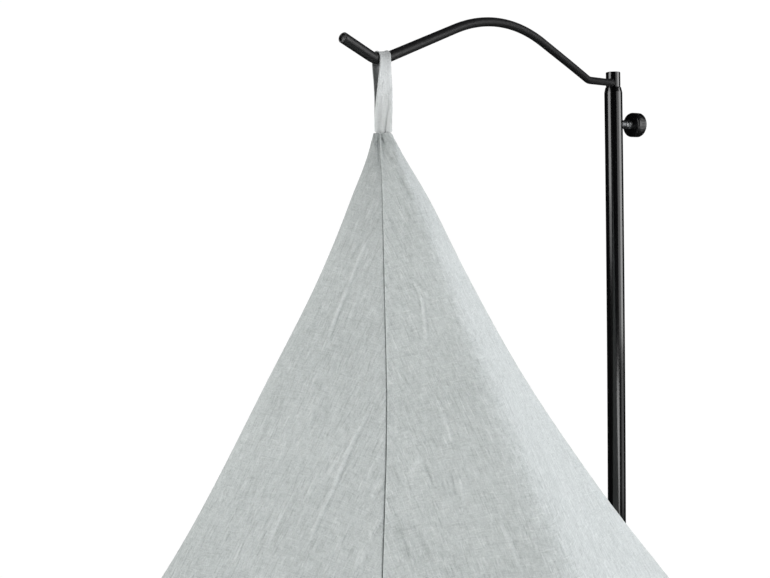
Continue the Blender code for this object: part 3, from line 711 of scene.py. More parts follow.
# ---------------------------------------------------------------- the loop
def strap_stations(rows_per_leg, arc_rows):
    """Centre, outward, width direction, half width, follow and height over the seam at each station of the loop."""
    hang = np.array([*(ARM_DIR * STRAP_REACH), 0.0])
    reach = COARSE_ARM[:, :2] @ ARM_DIR
    foot_at = np.array([HANG_X + STRAP_FOOT, HANG_Y, 0.0])
    around = ARM_DIAMETER / 2 + 0.0004 + STRAP_THICK / 2
    steep = 1.07
    together = 0.00015 + STRAP_THICK / 2
    arm_angle = math.radians(ARM_HEADING - 180)

    def arm_height(side):
        return float(np.interp(STRAP_REACH - side, reach, COARSE_ARM[:, 2]))

    middle_z = arm_height(0.0)
    leg = middle_z - SEAM_TOP
    levels = [-STRAP_TAIL, -STRAP_TAIL * 0.66, -STRAP_TAIL * 0.33] + [leg * (k / rows_per_leg) for k in range(rows_per_leg + 1)]
    legs = []
    for up in levels:
        w = max(up, 0.0) / leg
        turn = arm_angle * (1 - float(smooth((leg - max(up, 0.0)) / STRAP_TWIST_END)))
        grown = float(smooth((up + 0.0005) / 0.0030))
        half = (TAIL_WIDTH + (STRAP_WIDTH - TAIL_WIDTH) * grown) / 2
        out = np.array([math.sin(turn), -math.cos(turn), 0.0])
        wide = np.array([math.cos(turn), math.sin(turn), 0.0])
        centre = foot_at * (1 - w) + hang * w + np.array([STRAP_BULGE * math.sin(math.pi * w) ** 2, 0, SEAM_TOP + up])
        legs.append((centre, out, wide, half, w**2, up, together + (around - together) * w))
    stations = [(c + o * d, o, wi, h, f, up, 1, 0.0) for c, o, wi, h, f, up, d in legs]
    out = np.array([math.sin(arm_angle), -math.cos(arm_angle), 0.0])
    wide = np.array([math.cos(arm_angle), math.sin(arm_angle), 0.0])
    for k in range(1, arc_rows):
        a = math.pi * k / arc_rows
        direction = out * math.cos(a) + np.array([0, 0, math.sin(a)])
        centre = hang + out * around * math.cos(a) + np.array([0, 0, middle_z + around * steep * math.sin(a)])
        stations.append((centre, direction, wide, STRAP_WIDTH / 2, 1.0, leg + around * math.sin(a), 0, STRAP_SKEW * k / arc_rows))
    stations += [(c - o * d, -o, wi, h, f, up, -1, STRAP_SKEW * f) for c, o, wi, h, f, up, d in reversed(legs)]
    return stations, arm_height, middle_z, leg


def loop_outer_shade(across, up, top):
    """Painted shade on the loop's outer face: darker where it turns over the arm and down in its folds."""
    outer_face_shade = 0.64 * math.exp(-max(top - up, 0.0) / 0.0115)
    u = max(up, 0.0)
    for fold in STRAP_FOLD_SHADES:
        place = fold["above"] + (fold["foot"] - fold["above"]) * math.exp(-u / fold["settles"])
        outer_face_shade += fold["depth"] * math.exp(-((u / fold["reach"]) ** 2)) * math.exp(-(((across - place) / fold["width"]) ** 2))
    return outer_face_shade


def make_strap(mat):
    stations, arm_height, middle_z, leg = strap_stations(96, 26)
    flat_points, edge_points = 23, 5
    t = STRAP_THICK / 2
    section = []
    for k in range(flat_points):
        section.append((-1 + 2 * k / (flat_points - 1), 1, 0.0))
    for k in range(1, edge_points + 1):
        section.append((1, math.cos(math.pi * k / (edge_points + 1)), math.sin(math.pi * k / (edge_points + 1))))
    for k in range(flat_points):
        section.append((1 - 2 * k / (flat_points - 1), -1, 0.0))
    for k in range(1, edge_points + 1):
        section.append((-1, -math.cos(math.pi * k / (edge_points + 1)), -math.sin(math.pi * k / (edge_points + 1))))
    rings, flat, inside = [], [], []
    walked, before = 0.0, None
    for centre, n, wide, half, follow, up, leg_side, over in stations:
        if before is not None:
            walked += float(np.linalg.norm(centre - before))
        before = centre
        straight = half - t
        ring = []
        for a, b, round_off in section:
            across = a * straight + (math.copysign(t, a) * abs(round_off) if round_off else 0.0)
            off = b * t
            # the edges are folded under, so the middle lies a little lower than they do
            bulge = 0.00014 * (abs(a) ** 3) * (1 if leg_side else 0.4)
            # a row of stitches across it
            if leg_side == 1:
                bulge -= 0.00022 * math.exp(-(((up - 0.0475) / 0.0007) ** 2)) * (1 if -0.75 < a < 0.35 else 0)
            # lengthwise creases where the strap is gathered into the seam
            if leg_side == 1:
                u = max(up, 0.0)
                ridge = 0.00048 * math.exp(-(((a - 0.08 - 6.5 * u) / 0.13) ** 2)) * math.exp(-((u / 0.040) ** 2))
                trough = -0.00085 * math.exp(-(((a - 0.30 - 8.5 * u) / 0.11) ** 2)) * math.exp(-((u / 0.026) ** 2))
                line = -0.00045 * math.exp(-(((a - 0.72) / 0.07) ** 2)) * math.exp(-((u / 0.018) ** 2))
                hollow = -0.00040 * math.exp(-(((a + 0.45) / 0.24) ** 2)) * math.exp(-((u / 0.030) ** 2))
                middle = 0.00022 * math.sin(3.1 * a + 1.0) * math.exp(-(((u - 0.040) / 0.018) ** 2))
                crease = ridge + trough + line + hollow + middle
            elif leg_side == -1:
                crease = -0.0003 * math.exp(-max(up, 0.0) / 0.02) * math.sin(5 * a + 0.6)
            else:
                crease = 0.0
            bulge += crease
            drift = np.array([0, 0, (arm_height(across + over) - middle_z) * follow])
            ring.append(centre + wide * (across + over) + n * (off + bulge) + drift)
            flat.append((across + 0.5, walked, 0.9))
            # painted shade on the loop's inner faces, where the plies shade each other
            inner_face_shade = float(smooth((0.35 - b) / 0.7)) * (1.0 if leg_side < 0 else 0.8) * float(smooth((up - 0.002) / 0.006))
            # painted shade on the loop's outer face, under the arm and in its folds
            outer_face_shade = 0.0 if leg_side < 0 else loop_outer_shade(a, up, leg + 0.0015) * float(smooth((b + 0.2) / 0.6))
            inside.append((max(inner_face_shade, outer_face_shade), 0, 0))
        rings.append(ring)
    obj = swept("hanging_loop_strap", rings, mat, attributes=(("flat", np.array(flat)), ("painted_light", np.array(inside))))
    fix_outward(obj)
    obj.data.set_sharp_from_angle(angle=math.radians(70))
    return obj


# ---------------------------------------------------------------- materials
class Nodes:
    """Short names for building a material's nodes."""

    def __init__(self, name):
        self.mat = bpy.data.materials.new(name)
        self.mat.use_nodes = True
        self.tree = self.mat.node_tree
        self.shader = self.tree.nodes["Principled BSDF"]

    def add(self, kind, **settings):
        node = self.tree.nodes.new(kind)
        for key, value in settings.items():
            setattr(node, key, value)
        return node

    def link(self, a, b):
        self.tree.links.new(a, b)

    def put(self, socket, value):
        if isinstance(value, bpy.types.NodeSocket):
            self.link(value, socket)
        elif hasattr(socket, "default_value"):
            socket.default_value = value

    def math(self, op, a, b=None, c=None, clamp=False):
        node = self.add("ShaderNodeMath", operation=op, use_clamp=clamp)
        for socket, value in zip(node.inputs, (a, b, c)):
            if value is not None:
                self.put(socket, value)
        return node.outputs[0]

    def attribute(self, name):
        return self.add("ShaderNodeAttribute", attribute_name=name, attribute_type="GEOMETRY").outputs["Vector"]

    def scaled(self, vector, size, move=(0, 0, 0)):
        node = self.add("ShaderNodeMapping")
        self.link(vector, node.inputs["Vector"])
        node.inputs["Location"].default_value = move
        node.inputs["Scale"].default_value = size
        return node.outputs["Vector"]

    def noise(self, vector, detail=2.0, rough=0.5, scale=1.0, distortion=0.0, dims="3D"):
        node = self.add("ShaderNodeTexNoise", noise_dimensions=dims)
        self.link(vector, node.inputs["Vector"])
        node.inputs["Scale"].default_value = scale
        node.inputs["Detail"].default_value = detail
        node.inputs["Roughness"].default_value = rough
        node.inputs["Distortion"].default_value = distortion
        return node.outputs[0]

    def ramp(self, value, low, high, to_low=0.0, to_high=1.0):
        node = self.add("ShaderNodeMapRange", clamp=True, interpolation_type="SMOOTHSTEP")
        self.put(node.inputs["Value"], value)
        for key, v in (("From Min", low), ("From Max", high), ("To Min", to_low), ("To Max", to_high)):
            node.inputs[key].default_value = v
        return node.outputs["Result"]

    def add_range(self, value, low, high):
        node = self.add("ShaderNodeMapRange", clamp=True, interpolation_type="LINEAR")
        self.put(node.inputs["Value"], value)
        node.inputs["From Min"].default_value, node.inputs["From Max"].default_value = low, high
        return node.outputs["Result"]

    def mix(self, factor, a, b):
        node = self.add("ShaderNodeMix", data_type="RGBA")
        self.put(node.inputs["Factor"], factor)
        colour = [s for s in node.inputs if s.type == "RGBA"]
        self.put(colour[0], a)
        self.put(colour[1], b)
        return [s for s in node.outputs if s.type == "RGBA"][0]

    def bump(self, height, distance, strength=1.0, normal=None):
        node = self.add("ShaderNodeBump")
        self.put(node.inputs["Height"], height)
        node.inputs["Distance"].default_value = distance
        node.inputs["Strength"].default_value = strength
        if normal is not None:
            self.link(normal, node.inputs["Normal"])
        return node.outputs["Normal"]

    def set(self, **values):
        names = {"colour": "Base Color", "rough": "Roughness", "metal": "Metallic", "normal": "Normal", "sheen": "Sheen Weight",
                 "sheen_rough": "Sheen Roughness", "coat": "Coat Weight", "coat_rough": "Coat Roughness", "specular": "Specular IOR Level",
                 "diffuse_rough": "Diffuse Roughness", "ior": "IOR"}
        for key, value in values.items():
            self.put(self.shader.inputs[names[key]], value)
        return self.mat


def linen(name, light, dark, shade, shade_broad, deep=0.62):
    """Slubby plain weave. The attribute flat holds the cloth laid flat, in metres: x across the warp and y along it. A
    second attribute carries painted shade, which shade and shade_broad weigh and deep limits, and painted light on
    creases.
    """
    m = Nodes(name)
    flat = m.attribute("flat")

    def threads(across, along, move, detail=2.0, rough=0.6):
        return m.noise(m.scaled(flat, (1 / across, 1 / along, 1.0), move), detail=detail, rough=rough)

    warp = threads(0.00090, 0.0036, (0, 0, 0), 2.0, 0.70)
    weft = threads(0.0032, 0.00095, (5.1, 2.3, 4.0), 2.0, 0.70)
    grain = threads(0.0013, 0.0016, (2.2, 7.7, 1.3), 2.0, 0.75)
    slub_warp = m.ramp(threads(0.0014, 0.013, (9.7, 1.2, 7.0), 1.0), 0.57, 0.70)
    slub_weft = m.ramp(threads(0.011, 0.0014, (3.3, 8.2, 11.0), 1.0), 0.58, 0.71)
    thin_warp = m.ramp(threads(0.0013, 0.016, (1.9, 6.4, 15.0), 1.0), 0.57, 0.70)
    thin_weft = m.ramp(threads(0.012, 0.0013, (7.9, 2.4, 25.0), 1.0), 0.58, 0.71)
    mottle = threads(0.0042, 0.0060, (6.1, 4.4, 19.0), 3.0)
    cloud = threads(0.045, 0.075, (2.0, 0.5, 3.0), 3.0)
    part = m.add("ShaderNodeSeparateXYZ")
    m.link(flat, part.inputs[0])
    pitch = 0.00058
    wx = m.math("SINE", m.math("MULTIPLY", part.outputs[0], 2 * math.pi / pitch))
    wy = m.math("SINE", m.math("MULTIPLY", part.outputs[1], 2 * math.pi / pitch))
    thread = m.math("MULTIPLY", wx, wy)
    # tone: 0 dark, 1 light
    tone = m.math("MULTIPLY_ADD", warp, 0.47, m.math("MULTIPLY", weft, 0.46))
    tone = m.math("MULTIPLY_ADD", grain, 0.66, tone)
    tone = m.math("MULTIPLY_ADD", slub_warp, 0.20, tone)
    tone = m.math("MULTIPLY_ADD", slub_weft, 0.14, tone)
    tone = m.math("MULTIPLY_ADD", thin_warp, -0.20, tone)
    tone = m.math("MULTIPLY_ADD", thin_weft, -0.13, tone)
    tone = m.math("MULTIPLY_ADD", mottle, 0.56, tone)
    tone = m.math("MULTIPLY_ADD", cloud, 0.26, tone)
    tone = m.math("MULTIPLY_ADD", thread, 0.02, tone)
    # painted highlight on the ridges of the drawn creases and gathers, painted shade in their troughs
    painted_light = m.add("ShaderNodeSeparateXYZ")
    m.link(m.attribute("painted_light"), painted_light.inputs[0])
    tone = m.math("MULTIPLY_ADD", painted_light.outputs[2], 0.30, tone)
    tone = m.add_range(tone, 0.715, 1.655)
    colour = m.mix(tone, dark, light)
    # painted shade: the colour is mixed towards a darker copy of itself near the canopy's top, down the left panel, and
    # on the loop's inner face and folds
    darker = m.math("MULTIPLY_ADD", painted_light.outputs[0], shade, m.math("MULTIPLY", painted_light.outputs[1], shade_broad))
    share = deep * 0.70
    shaded_tone = m.mix(tone, tuple(c * share for c in dark[:3]) + (1,), tuple(c * share for c in light[:3]) + (1,))
    colour = m.mix(darker, colour, shaded_tone)
    # creases too fine for the mesh, mostly along the warp
    fold = threads(0.0065, 0.050, (4.0, 1.0, 21.0), 2.0, 0.45)
    fold = m.math("SUBTRACT", 1.0, m.math("ABSOLUTE", m.math("MULTIPLY_ADD", fold, 2.0, -1.0)))
    fold = m.math("POWER", fold, 9.0)
    where = m.ramp(threads(0.05, 0.09, (7.0, 3.0, 31.0), 1.0), 0.42, 0.62)
    fold = m.math("MULTIPLY", fold, where)
    crumple = threads(0.0085, 0.020, (8.0, 5.0, 41.0), 3.0, 0.55)
    height = m.math("MULTIPLY_ADD", warp, 0.8, m.math("MULTIPLY", weft, 0.6))
    height = m.math("MULTIPLY_ADD", slub_warp, 0.7, height)
    height = m.math("MULTIPLY_ADD", slub_weft, 0.5, height)
    height = m.math("MULTIPLY_ADD", thread, 0.12, height)
    height = m.math("MULTIPLY_ADD", grain, 0.7, height)
    normal = m.bump(crumple, 0.0017, 0.8)
    normal = m.bump(fold, 0.0004, 0.8, normal)
    normal = m.bump(height, 0.00032, 0.9, normal)
    rough = m.ramp(tone, 0.0, 1.0, 0.93, 0.82)
    return m.set(colour=colour, rough=rough, normal=normal, sheen=0.10, sheen_rough=0.6, specular=0.15)


def object_noise(m, size, detail=2.0, stretch=(1, 1, 1)):
    where = m.add("ShaderNodeTexCoord").outputs["Object"]
    return m.noise(m.scaled(where, tuple(k / size for k in stretch)), detail=detail)


def paint(name, colour, rough, coat, peel):
    """Powder paint over steel: orange peel, faint cloudiness of gloss and a few fine rubs."""
    m = Nodes(name)
    fine = object_noise(m, 0.0011, 2.0)
    broad = object_noise(m, 0.035, 3.0)
    rub = m.ramp(object_noise(m, 0.0016, 3.0, (1, 1, 0.03)), 0.66, 0.80)
    r = m.math("MULTIPLY_ADD", broad, 0.10, rough - 0.05)
    r = m.math("MULTIPLY_ADD", rub, 0.10, r)
    lift = m.mix(m.math("MULTIPLY_ADD", rub, 0.35, m.math("MULTIPLY", broad, 0.25)), (*colour, 1), tuple(c * 2.2 for c in colour) + (1,))
    normal = m.bump(fine, peel, 0.5)
    return m.set(colour=lift, rough=r, normal=normal, coat=coat, coat_rough=0.12, specular=0.5)


def plastic(name, colour, place, face):
    """Moulded plastic: satin on the rim and smoother on the flat face that lies at this distance along place."""
    m = Nodes(name)
    where = m.add("ShaderNodeTexCoord").outputs["Object"]
    along = m.add("ShaderNodeVectorMath", operation="DOT_PRODUCT")
    m.link(where, along.inputs[0])
    along.inputs[1].default_value = place
    satin = m.ramp(along.outputs["Value"], face + 0.0010, face + 0.0024)
    fine = object_noise(m, 0.00035, 2.0)
    broad = object_noise(m, 0.006, 2.0)
    tone = m.mix(broad, (*colour, 1), tuple(c * 1.7 for c in colour) + (1,))
    r = m.math("MULTIPLY_ADD", fine, 0.08, m.math("MULTIPLY_ADD", satin, 0.20, 0.08))
    return m.set(colour=tone, rough=r, normal=m.bump(fine, 0.00002, 0.4), specular=0.5)


def plated(name, colour, place):
    """Zinc plate on turned steel: fine rings round the axis and a slightly cloudy finish."""
    m = Nodes(name)
    where = m.add("ShaderNodeTexCoord").outputs["Object"]
    along = m.add("ShaderNodeVectorMath", operation="DOT_PRODUCT")
    m.link(where, along.inputs[0])
    along.inputs[1].default_value = place
    ring = m.add("ShaderNodeTexNoise", noise_dimensions="1D")
    m.put(ring.inputs["W"], m.math("MULTIPLY", along.outputs["Value"], 1 / 0.00022))
    ring.inputs["Detail"].default_value = 3.0
    ring.inputs["Scale"].default_value = 1.0
    cloud = object_noise(m, 0.003, 3.0)
    tone = m.mix(m.math("MULTIPLY_ADD", cloud, 0.7, m.math("MULTIPLY", ring.outputs[0], 0.3)), tuple(c * 0.72 for c in colour) + (1,), (*colour, 1))
    r = m.math("MULTIPLY_ADD", cloud, 0.20, 0.34)
    return m.set(colour=tone, rough=r, metal=1.0, normal=m.bump(ring.outputs[0], 0.00005, 0.6))


CLAMP_DIR = Vector((math.cos(math.radians(CLAMP_HEADING)), math.sin(math.radians(CLAMP_HEADING)), 0))

# the last numbers set how strongly the painted shade darkens the canopy and the loop
LINEN = linen("linen_weave", (0.80, 0.840, 0.830, 1), (0.42, 0.457, 0.449, 1), 0.34, 0.46)
STRAP_LINEN = linen("loop_linen_weave", (0.81, 0.8325, 0.826, 1), (0.594, 0.623, 0.6165, 1), 1.0, 0.0, 0.40)
GLOSS = paint("gloss_black_paint", (0.0014, 0.0014, 0.0016), 0.17, 0.6, 0.00003)
SATIN = paint("satin_black_paint", (0.0060, 0.0060, 0.0064), 0.46, 0.0, 0.00005)
PLASTIC = plastic("black_knob_plastic", (0.0030, 0.0030, 0.0033), tuple(CLAMP_DIR), KNOB_START)
ZINC = plated("zinc_plate", (0.52, 0.53, 0.54), tuple(CLAMP_DIR))
DULL_ZINC = plated("boss_zinc_plate", (0.17, 0.175, 0.18), tuple(CLAMP_DIR))


# ---------------------------------------------------------------- pieces: cloth
panels, DROP_ROWS, LYING_FROM = make_panels(LINEN)
panel_right, panel_left = panels["panel_right"][0], panels["panel_left"][0]
strap = make_strap(STRAP_LINEN)


# ---------------------------------------------------------------- pieces: stand
def rounded(points, radius, steps=5):
    """A closed or open profile with each inner corner rounded."""
    out = [points[0]]
    for a, b, c in zip(points, points[1:], points[2:]):
        a, b, c = (np.array(p, float) for p in (a, b, c))
        u, v = a - b, c - b
        lu, lv = np.linalg.norm(u), np.linalg.norm(v)
        u, v = u / lu, v / lv
        turn = math.pi - math.acos(float(np.clip(u @ v, -1, 1)))
        r = min(radius, 0.42 * lu / max(math.tan(turn / 2), 1e-6), 0.42 * lv / max(math.tan(turn / 2), 1e-6))
        if turn < math.radians(4) or b[0] == 0:
            out.append(tuple(b))
            continue
        back = r * math.tan(turn / 2)
        centre = b + (u + v) / np.linalg.norm(u + v) * r / math.cos(turn / 2)
        s, e = b + u * back - centre, b + v * back - centre
        for k in range(steps + 1):
            w = k / steps
            p = centre + (s * math.sin((1 - w) * turn) + e * math.sin(w * turn)) / math.sin(turn)
            out.append((max(float(p[0]), 0.0), float(p[1])))
    out.append(points[-1])
    return out


def along(origin, direction):
    return Matrix.Translation(origin) @ Vector(direction).to_track_quat("Z", "Y").to_matrix().to_4x4()


r, t = BASE_RADIUS, BASE_THICK
base = turned("base_disc", rounded([(0, t), (0.05, t), (0.10, t), (r, t), (r, 0), (0.10, 0), (0, 0)], BASE_EDGE, 6), GLOSS, 160)

ro, ri = POLE_OD / 2, POLE_OD / 2 - POLE_WALL
foot = BASE_THICK + GAP
shoulder = POLE_TOP - TAPER_LENGTH
heights = list(np.linspace(shoulder - 0.02, foot + 0.02, 24))
pole_profile = rounded(
    [(TUBE_OD / 2 + GAP, POLE_TOP - 0.003), (TUBE_OD / 2 + GAP, POLE_TOP), (LIP_OD / 2, POLE_TOP), (LIP_OD / 2 + 0.0004, POLE_TOP - 0.0012), (ro - 0.0001, shoulder + 0.0008), (ro, shoulder - 0.002)]
    + [(ro, z) for z in heights] + [(ro, foot), (ri, foot)] + [(ri, z) for z in reversed(heights)] + [(ri, shoulder - 0.001)],
    0.0012,
)


def set_aside(obj):
    """Loaded on one side, the slender pole stands in a slight bow."""
    for v in obj.data.vertices:
        t = v.co.z / POLE_TOP
        v.co.x += POLE_BOW * 4 * t * (1 - t) - POLE_LEAN * t


pole = turned("pole_tube", pole_profile, GLOSS, 96)
set_aside(pole)
to, ti = TUBE_OD / 2, TUBE_OD / 2 - TUBE_WALL
tube_profile = rounded(
    [(0, TUBE_TOP), (0.004, TUBE_TOP), (to, TUBE_TOP), (to, POLE_TOP + 0.006), (to, TUBE_TOP - TUBE_LENGTH), (ti, TUBE_TOP - TUBE_LENGTH), (ti, TUBE_TOP - 0.002), (0, TUBE_TOP - 0.002)],
    0.0008,
)
top_tube = turned("top_tube_piece", tube_profile, GLOSS, 80)
set_aside(top_tube)
arm = make_arm(SATIN)
for v in arm.data.vertices:
    v.co.x -= 0.00175 * float(smooth(1 - math.hypot(v.co.x, v.co.y) / 0.16))

clamp_at = Vector((0, 0, CLAMP_HEIGHT))
clamp_place = along(clamp_at, CLAMP_DIR)
bore = SCREW_DIAMETER / 2 + GAP


def saddle_boss():
    """The boss's end is hollowed to sit round the pole."""
    steps, rings = 64, []
    R = ro + GAP
    inv = clamp_place.inverted()
    up = (inv.to_3x3() @ Vector((0, 0, 1))).normalized()
    side = Vector((0, 0, 1)).cross(up).normalized()
    out_r = BOSS_OD / 2
    edge = 0.0006

    def on_pole(radius, a):
        # distance along the clamp's axis where a line at this radius meets the pole
        w = radius * math.cos(a)
        return math.sqrt(max(R * R - w * w, 0))

    profile = [(bore, None), (out_r - 0.0003, None), (out_r, 0.0006), (out_r, 0.5), (out_r, 1.0)]
    rows = []
    for k in range(steps):
        a = 2 * math.pi * k / steps
        base_in, base_out = on_pole(bore, a) - 0.0012, on_pole(out_r, a) - 0.0012
        top = BOSS_REACH
        row = [
            (bore, base_in), (out_r - 0.0004, base_out), (out_r, base_out + 0.0004), (out_r, (base_out + top) / 2), (out_r, top - edge),
            (out_r - edge * 0.29, top - edge * 0.29), (out_r - edge, top), ((out_r + bore) / 2, top), (bore + 0.0003, top), (bore, top - 0.0003),
        ]
        rows.append([side * (rr * math.cos(a)) + up * (rr * math.sin(a)) + Vector((0, 0, z)) for rr, z in row])
    points, faces = [], []
    m = len(rows[0])
    for row in rows:
        points += [clamp_place @ p for p in row]
    for k in range(steps):
        j = (k + 1) % steps
        for i in range(m):
            i2 = (i + 1) % m
            faces.append((k * m + i, j * m + i, j * m + i2, k * m + i2))
    obj = add_mesh("clamp_boss_nut", points, faces, DULL_ZINC)
    fix_outward(obj)
    obj.data.set_sharp_from_angle(angle=math.radians(35))
    return obj


boss = saddle_boss()
screw_r, tip = SCREW_DIAMETER / 2, TUBE_OD / 2 + GAP
fr = FERRULE_OD / 2
screw_profile = rounded(
    [(0, KNOB_START + 0.0070), (screw_r, KNOB_START + 0.0070), (screw_r, FERRULE_END), (fr - 0.0003, FERRULE_END), (fr, FERRULE_END - 0.0030), (fr, FERRULE_START + 0.0048),
     (fr - 0.0016, FERRULE_START + 0.0040), (fr - 0.0016, FERRULE_START + 0.0030), (fr - 0.0006, FERRULE_START + 0.0026), (fr - 0.0006, FERRULE_START), (screw_r, FERRULE_START)], 0.0005, 4)
thread = []
z = FERRULE_START - 0.0002
while z > tip + 0.0012:
    thread += [(screw_r - 0.00005, z), (screw_r - 0.0006, z - 0.00055)]
    z -= 0.00110
screw_profile += thread + [(screw_r - 0.0008, tip), (0, tip)]
screw = turned("clamp_screw_shaft", screw_profile, ZINC, 72, clamp_place)

kr, ks, ke = KNOB_OD / 2, KNOB_START, KNOB_END


def knurl(radius, z, a):
    """Fine ribs on the knob's rim, fading at both edges."""
    if radius < kr * 0.93:
        return radius
    fade = min(1.0, max(0.0, (z - (ks + 0.0034)) / 0.0012)) * min(1.0, max(0.0, ((ke - 0.0030) - z) / 0.0012))
    return radius - 0.00028 * fade * (0.5 + 0.5 * math.cos(54 * a))


rim = [(kr, ke - 0.0038 - k * (ke - 0.0038 - ks - 0.0050) / 5) for k in range(6)]
knob_profile = (
    [(0, ke - 0.0006), (kr * 0.30, ke - 0.0006), (kr * 0.50, ke - 0.0005), (kr * 0.58, ke), (kr * 0.70, ke), (kr * 0.86, ke - 0.0006), (kr * 0.92, ke - 0.0012), (kr * 0.965, ke - 0.0019), (kr * 0.99, ke - 0.0028)]
    + rim
    + [(kr, ks + 0.0034), (kr * 0.993, ks + 0.0024), (kr * 0.975, ks + 0.0016), (kr * 0.95, ks + 0.0011), (kr * 0.90, ks + 0.0007), (kr * 0.80, ks + 0.0003), (kr * 0.70, ks + 0.0001), (kr * 0.44, ks), (bore, ks), (bore, ks + 0.0073), (0, ks + 0.0073)]
)
knob = turned("clamp_knob_grip", knob_profile, PLASTIC, 216, clamp_place, knurl)

# the bead that joins the arm to its tube
entry = Vector(FINE_ARM[0])
heading = (Vector(FINE_ARM[1]) - entry).normalized()


def weld_bead():
    rings, R = [], TUBE_OD / 2
    n_around, n_tube = 72, 10
    ar = ARM_DIAMETER / 2
    side = Vector((-heading.y, heading.x, 0)).normalized()
    up = heading.cross(side)
    up = up if up.z > 0 else -up
    for k in range(n_around):
        a = 2 * math.pi * k / n_around
        direction = side * math.cos(a) + up * math.sin(a)
        w = (ar + 0.0006) * math.cos(a)
        reach = math.sqrt(R * R - w * w)
        centre = Vector((0, 0, entry.z)) + heading * (reach + 0.0002) + direction * (ar + 0.0001) + Vector((0, 0, 0)) 
        size = 0.00105 * (1 + 0.10 * math.sin(9 * a + 0.5) + 0.06 * math.sin(17 * a))
        ring = []
        for j in range(n_tube):
            b = 2 * math.pi * j / n_tube
            ring.append(centre + heading * (size * math.cos(b)) + direction * (size * math.sin(b)))
        rings.append(ring)
    m = n_tube
    points = [p for ring in rings for p in ring]
    faces = []
    for k in range(n_around):
        j = (k + 1) % n_around
        for i in range(m):
            i2 = (i + 1) % m
            faces.append((k * m + i, j * m + i, j * m + i2, k * m + i2))
    obj = add_mesh("arm_weld_bead", points, faces, SATIN)
    fix_outward(obj)
    return obj


bead = weld_bead()
set_aside(bead)

# ---------------------------------------------------------------- what rides on what
for piece, node, slot in (
    (panel_right, "panel_right", "linen"), (panel_left, "panel_left", "linen"), (strap, "hanging_loop", "loop_linen"),
    (base, "base_plate", "gloss_black"), (pole, "pole", "gloss_black"), (top_tube, "top_tube", "gloss_black"),
    (arm, "arm", "satin_black"), (boss, "clamp_boss", "zinc"), (screw, "clamp_screw", "zinc"), (knob, "clamp_knob", "black_plastic"),
):
    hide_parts(node)
    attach(piece, "knob" if node in ("clamp_screw", "clamp_knob") else "stand")
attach(bead, "stand")

# ---------------------------------------------------------------- stage, light and camera
CENTRE = Vector((-0.235, -0.413, 0.0))


def make_floor():
    """A pale floor that turns into the white of the studio away from the object."""
    steps, radii = 96, [0.0, 0.3, 0.6, 0.9, 1.2, 1.5, 1.8, 2.1, 2.5, 4, 8, 16, 40]
    points, faces, rings = [], [], []
    for rr in radii:
        if rr == 0:
            rings.append([0])
            points.append((CENTRE.x, CENTRE.y, -0.0001))
            continue
        rings.append(list(range(len(points), len(points) + steps)))
        points += [(CENTRE.x + rr * math.cos(2 * math.pi * k / steps), CENTRE.y + rr * math.sin(2 * math.pi * k / steps), -0.0001) for k in range(steps)]
    for a, b in zip(rings, rings[1:]):
        for k in range(steps):
            j = (k + 1) % steps
            faces.append((a[0], b[k], b[j]) if len(a) == 1 else (a[k], b[k], b[j], a[j]))
    m = Nodes("studio_floor")
    where = m.add("ShaderNodeTexCoord").outputs["Object"]
    shift = m.add("ShaderNodeVectorMath", operation="SUBTRACT")
    m.link(where, shift.inputs[0])
    shift.inputs[1].default_value = (CENTRE.x, CENTRE.y, 0)
    length = m.add("ShaderNodeVectorMath", operation="LENGTH")
    m.link(shift.outputs[0], length.inputs[0])
    far = m.ramp(length.outputs["Value"], 1.15, 2.0)
    m.set(colour=(0.86, 0.86, 0.855, 1), rough=0.8, specular=0.2)
    glow = m.add("ShaderNodeEmission")
    glow.inputs["Color"].default_value = (1, 1, 1, 1)
    glow.inputs["Strength"].default_value = 1.02
    both = m.add("ShaderNodeMixShader")
    m.link(far, both.inputs[0])
    m.link(m.shader.outputs[0], both.inputs[1])
    m.link(glow.outputs[0], both.inputs[2])
    out = next(n for n in m.tree.nodes if n.type == "OUTPUT_MATERIAL")
    m.link(both.outputs[0], out.inputs["Surface"])
    return add_mesh("studio_floor", points, faces, m.mat, smooth_faces=False)


floor = make_floor()
floor.visible_glossy = False


def softbox(name, azimuth, distance, height, size, radiance, aim, diffuse=True, glossy=True):
    """azimuth is in degrees from -Y towards +X, round the pole's foot."""
    a = math.radians(azimuth)
    at = Vector((aim[0] + distance * math.sin(a), aim[1] - distance * math.cos(a), height))
    light = bpy.data.lights.new(name, "AREA")
    light.shape, light.size, light.size_y = "RECTANGLE", size[0], size[1]
    light.energy = radiance * math.pi * size[0] * size[1]
    lamp = bpy.data.objects.new(name, light)
    bpy.context.scene.collection.objects.link(lamp)
    lamp.location = at
    lamp.rotation_euler = (at - Vector(aim)).to_track_quat("Z", "Y").to_euler()
    lamp.visible_camera = False
    lamp.visible_diffuse, lamp.visible_glossy = diffuse, glossy
    return lamp


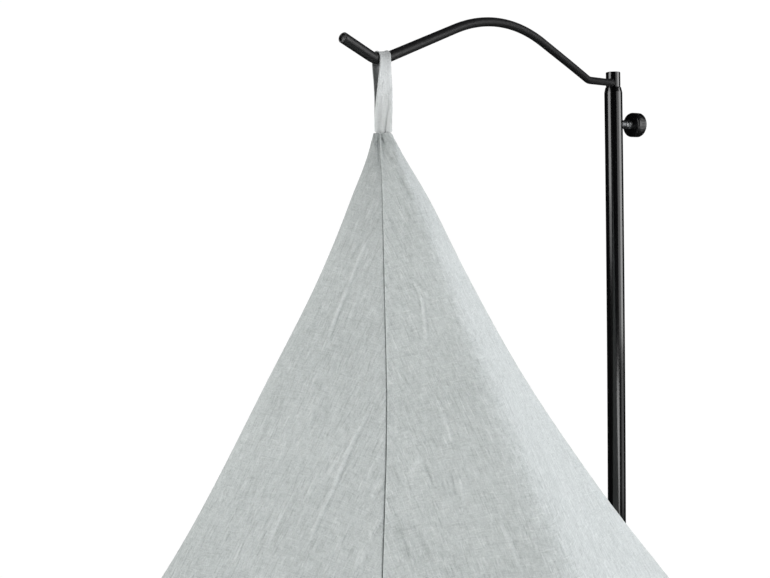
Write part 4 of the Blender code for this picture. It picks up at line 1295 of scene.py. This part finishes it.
aim = (-0.33, -0.45, 1.05)
softbox("key_left", -56, 2.5, 2.80, (1.2, 1.2), 11.6, aim, glossy=False)
key_right = softbox("key_right", 88, 2.4, 2.05, (1.6, 1.5), 7.65, aim, glossy=False)
key_right.data.color = (0.985, 0.985, 1.015)
softbox("back_fill", 178, 2.8, 1.90, (2.2, 2.0), 1.0, aim, glossy=False)
pole_aim = (0.0, 0.0, 1.45)
softbox("strip_right", 74, 2.2, 1.62, (1.35, 1.75), 3.9, pole_aim, diffuse=False)
softbox("strip_right_soft", 42, 2.2, 1.62, (1.2, 1.75), 1.3, pole_aim, diffuse=False)
softbox("strip_right_low", 72, 2.2, 0.42, (1.5, 0.62), 0.8, pole_aim, diffuse=False)
softbox("strip_left", -70, 2.2, 2.02, (1.3, 1.50), 2.6, pole_aim, diffuse=False)
softbox("strip_left_long", -70, 2.2, 1.78, (1.3, 1.50), 1.7, pole_aim, diffuse=False)
softbox("strip_low", 9, 2.2, 0.34, (1.2, 0.55), 4.0, (0.0, 0.0, 0.6), diffuse=False)

world = bpy.data.worlds.new("studio")
bpy.context.scene.world = world
world.use_nodes = True
tree = world.node_tree
for node in list(tree.nodes):
    tree.nodes.remove(node)
path = tree.nodes.new("ShaderNodeLightPath")


def background(strength, colour=(1, 1, 1, 1)):
    node = tree.nodes.new("ShaderNodeBackground")
    node.inputs["Color"].default_value = colour
    node.inputs["Strength"].default_value = strength
    return node.outputs[0]


def choose(factor, a, b):
    node = tree.nodes.new("ShaderNodeMixShader")
    tree.links.new(factor, node.inputs[0])
    tree.links.new(a, node.inputs[1])
    tree.links.new(b, node.inputs[2])
    return node.outputs[0]


seen = choose(path.outputs["Is Glossy Ray"], background(0.15), background(0.012))
seen = choose(path.outputs["Is Camera Ray"], seen, background(1.02))
output = tree.nodes.new("ShaderNodeOutputWorld")
tree.links.new(seen, output.inputs["Surface"])

view = bpy.context.scene.view_settings
view.view_transform, view.look, view.exposure, view.gamma = "Standard", "None", 0.0, 1.0

camera_data = bpy.data.cameras.new("camera")
camera_data.sensor_fit, camera_data.sensor_width = "AUTO", 36.0
camera_data.lens = 39.74
camera_data.shift_y = -0.12
camera_data.clip_start, camera_data.clip_end = 0.05, 100
camera = bpy.data.objects.new("camera", camera_data)
bpy.context.scene.collection.objects.link(camera)
camera.location = (-0.3276, -1.2143, 1.330)
camera.rotation_euler = (math.radians(90), 0, 0)
bpy.context.scene.camera = camera
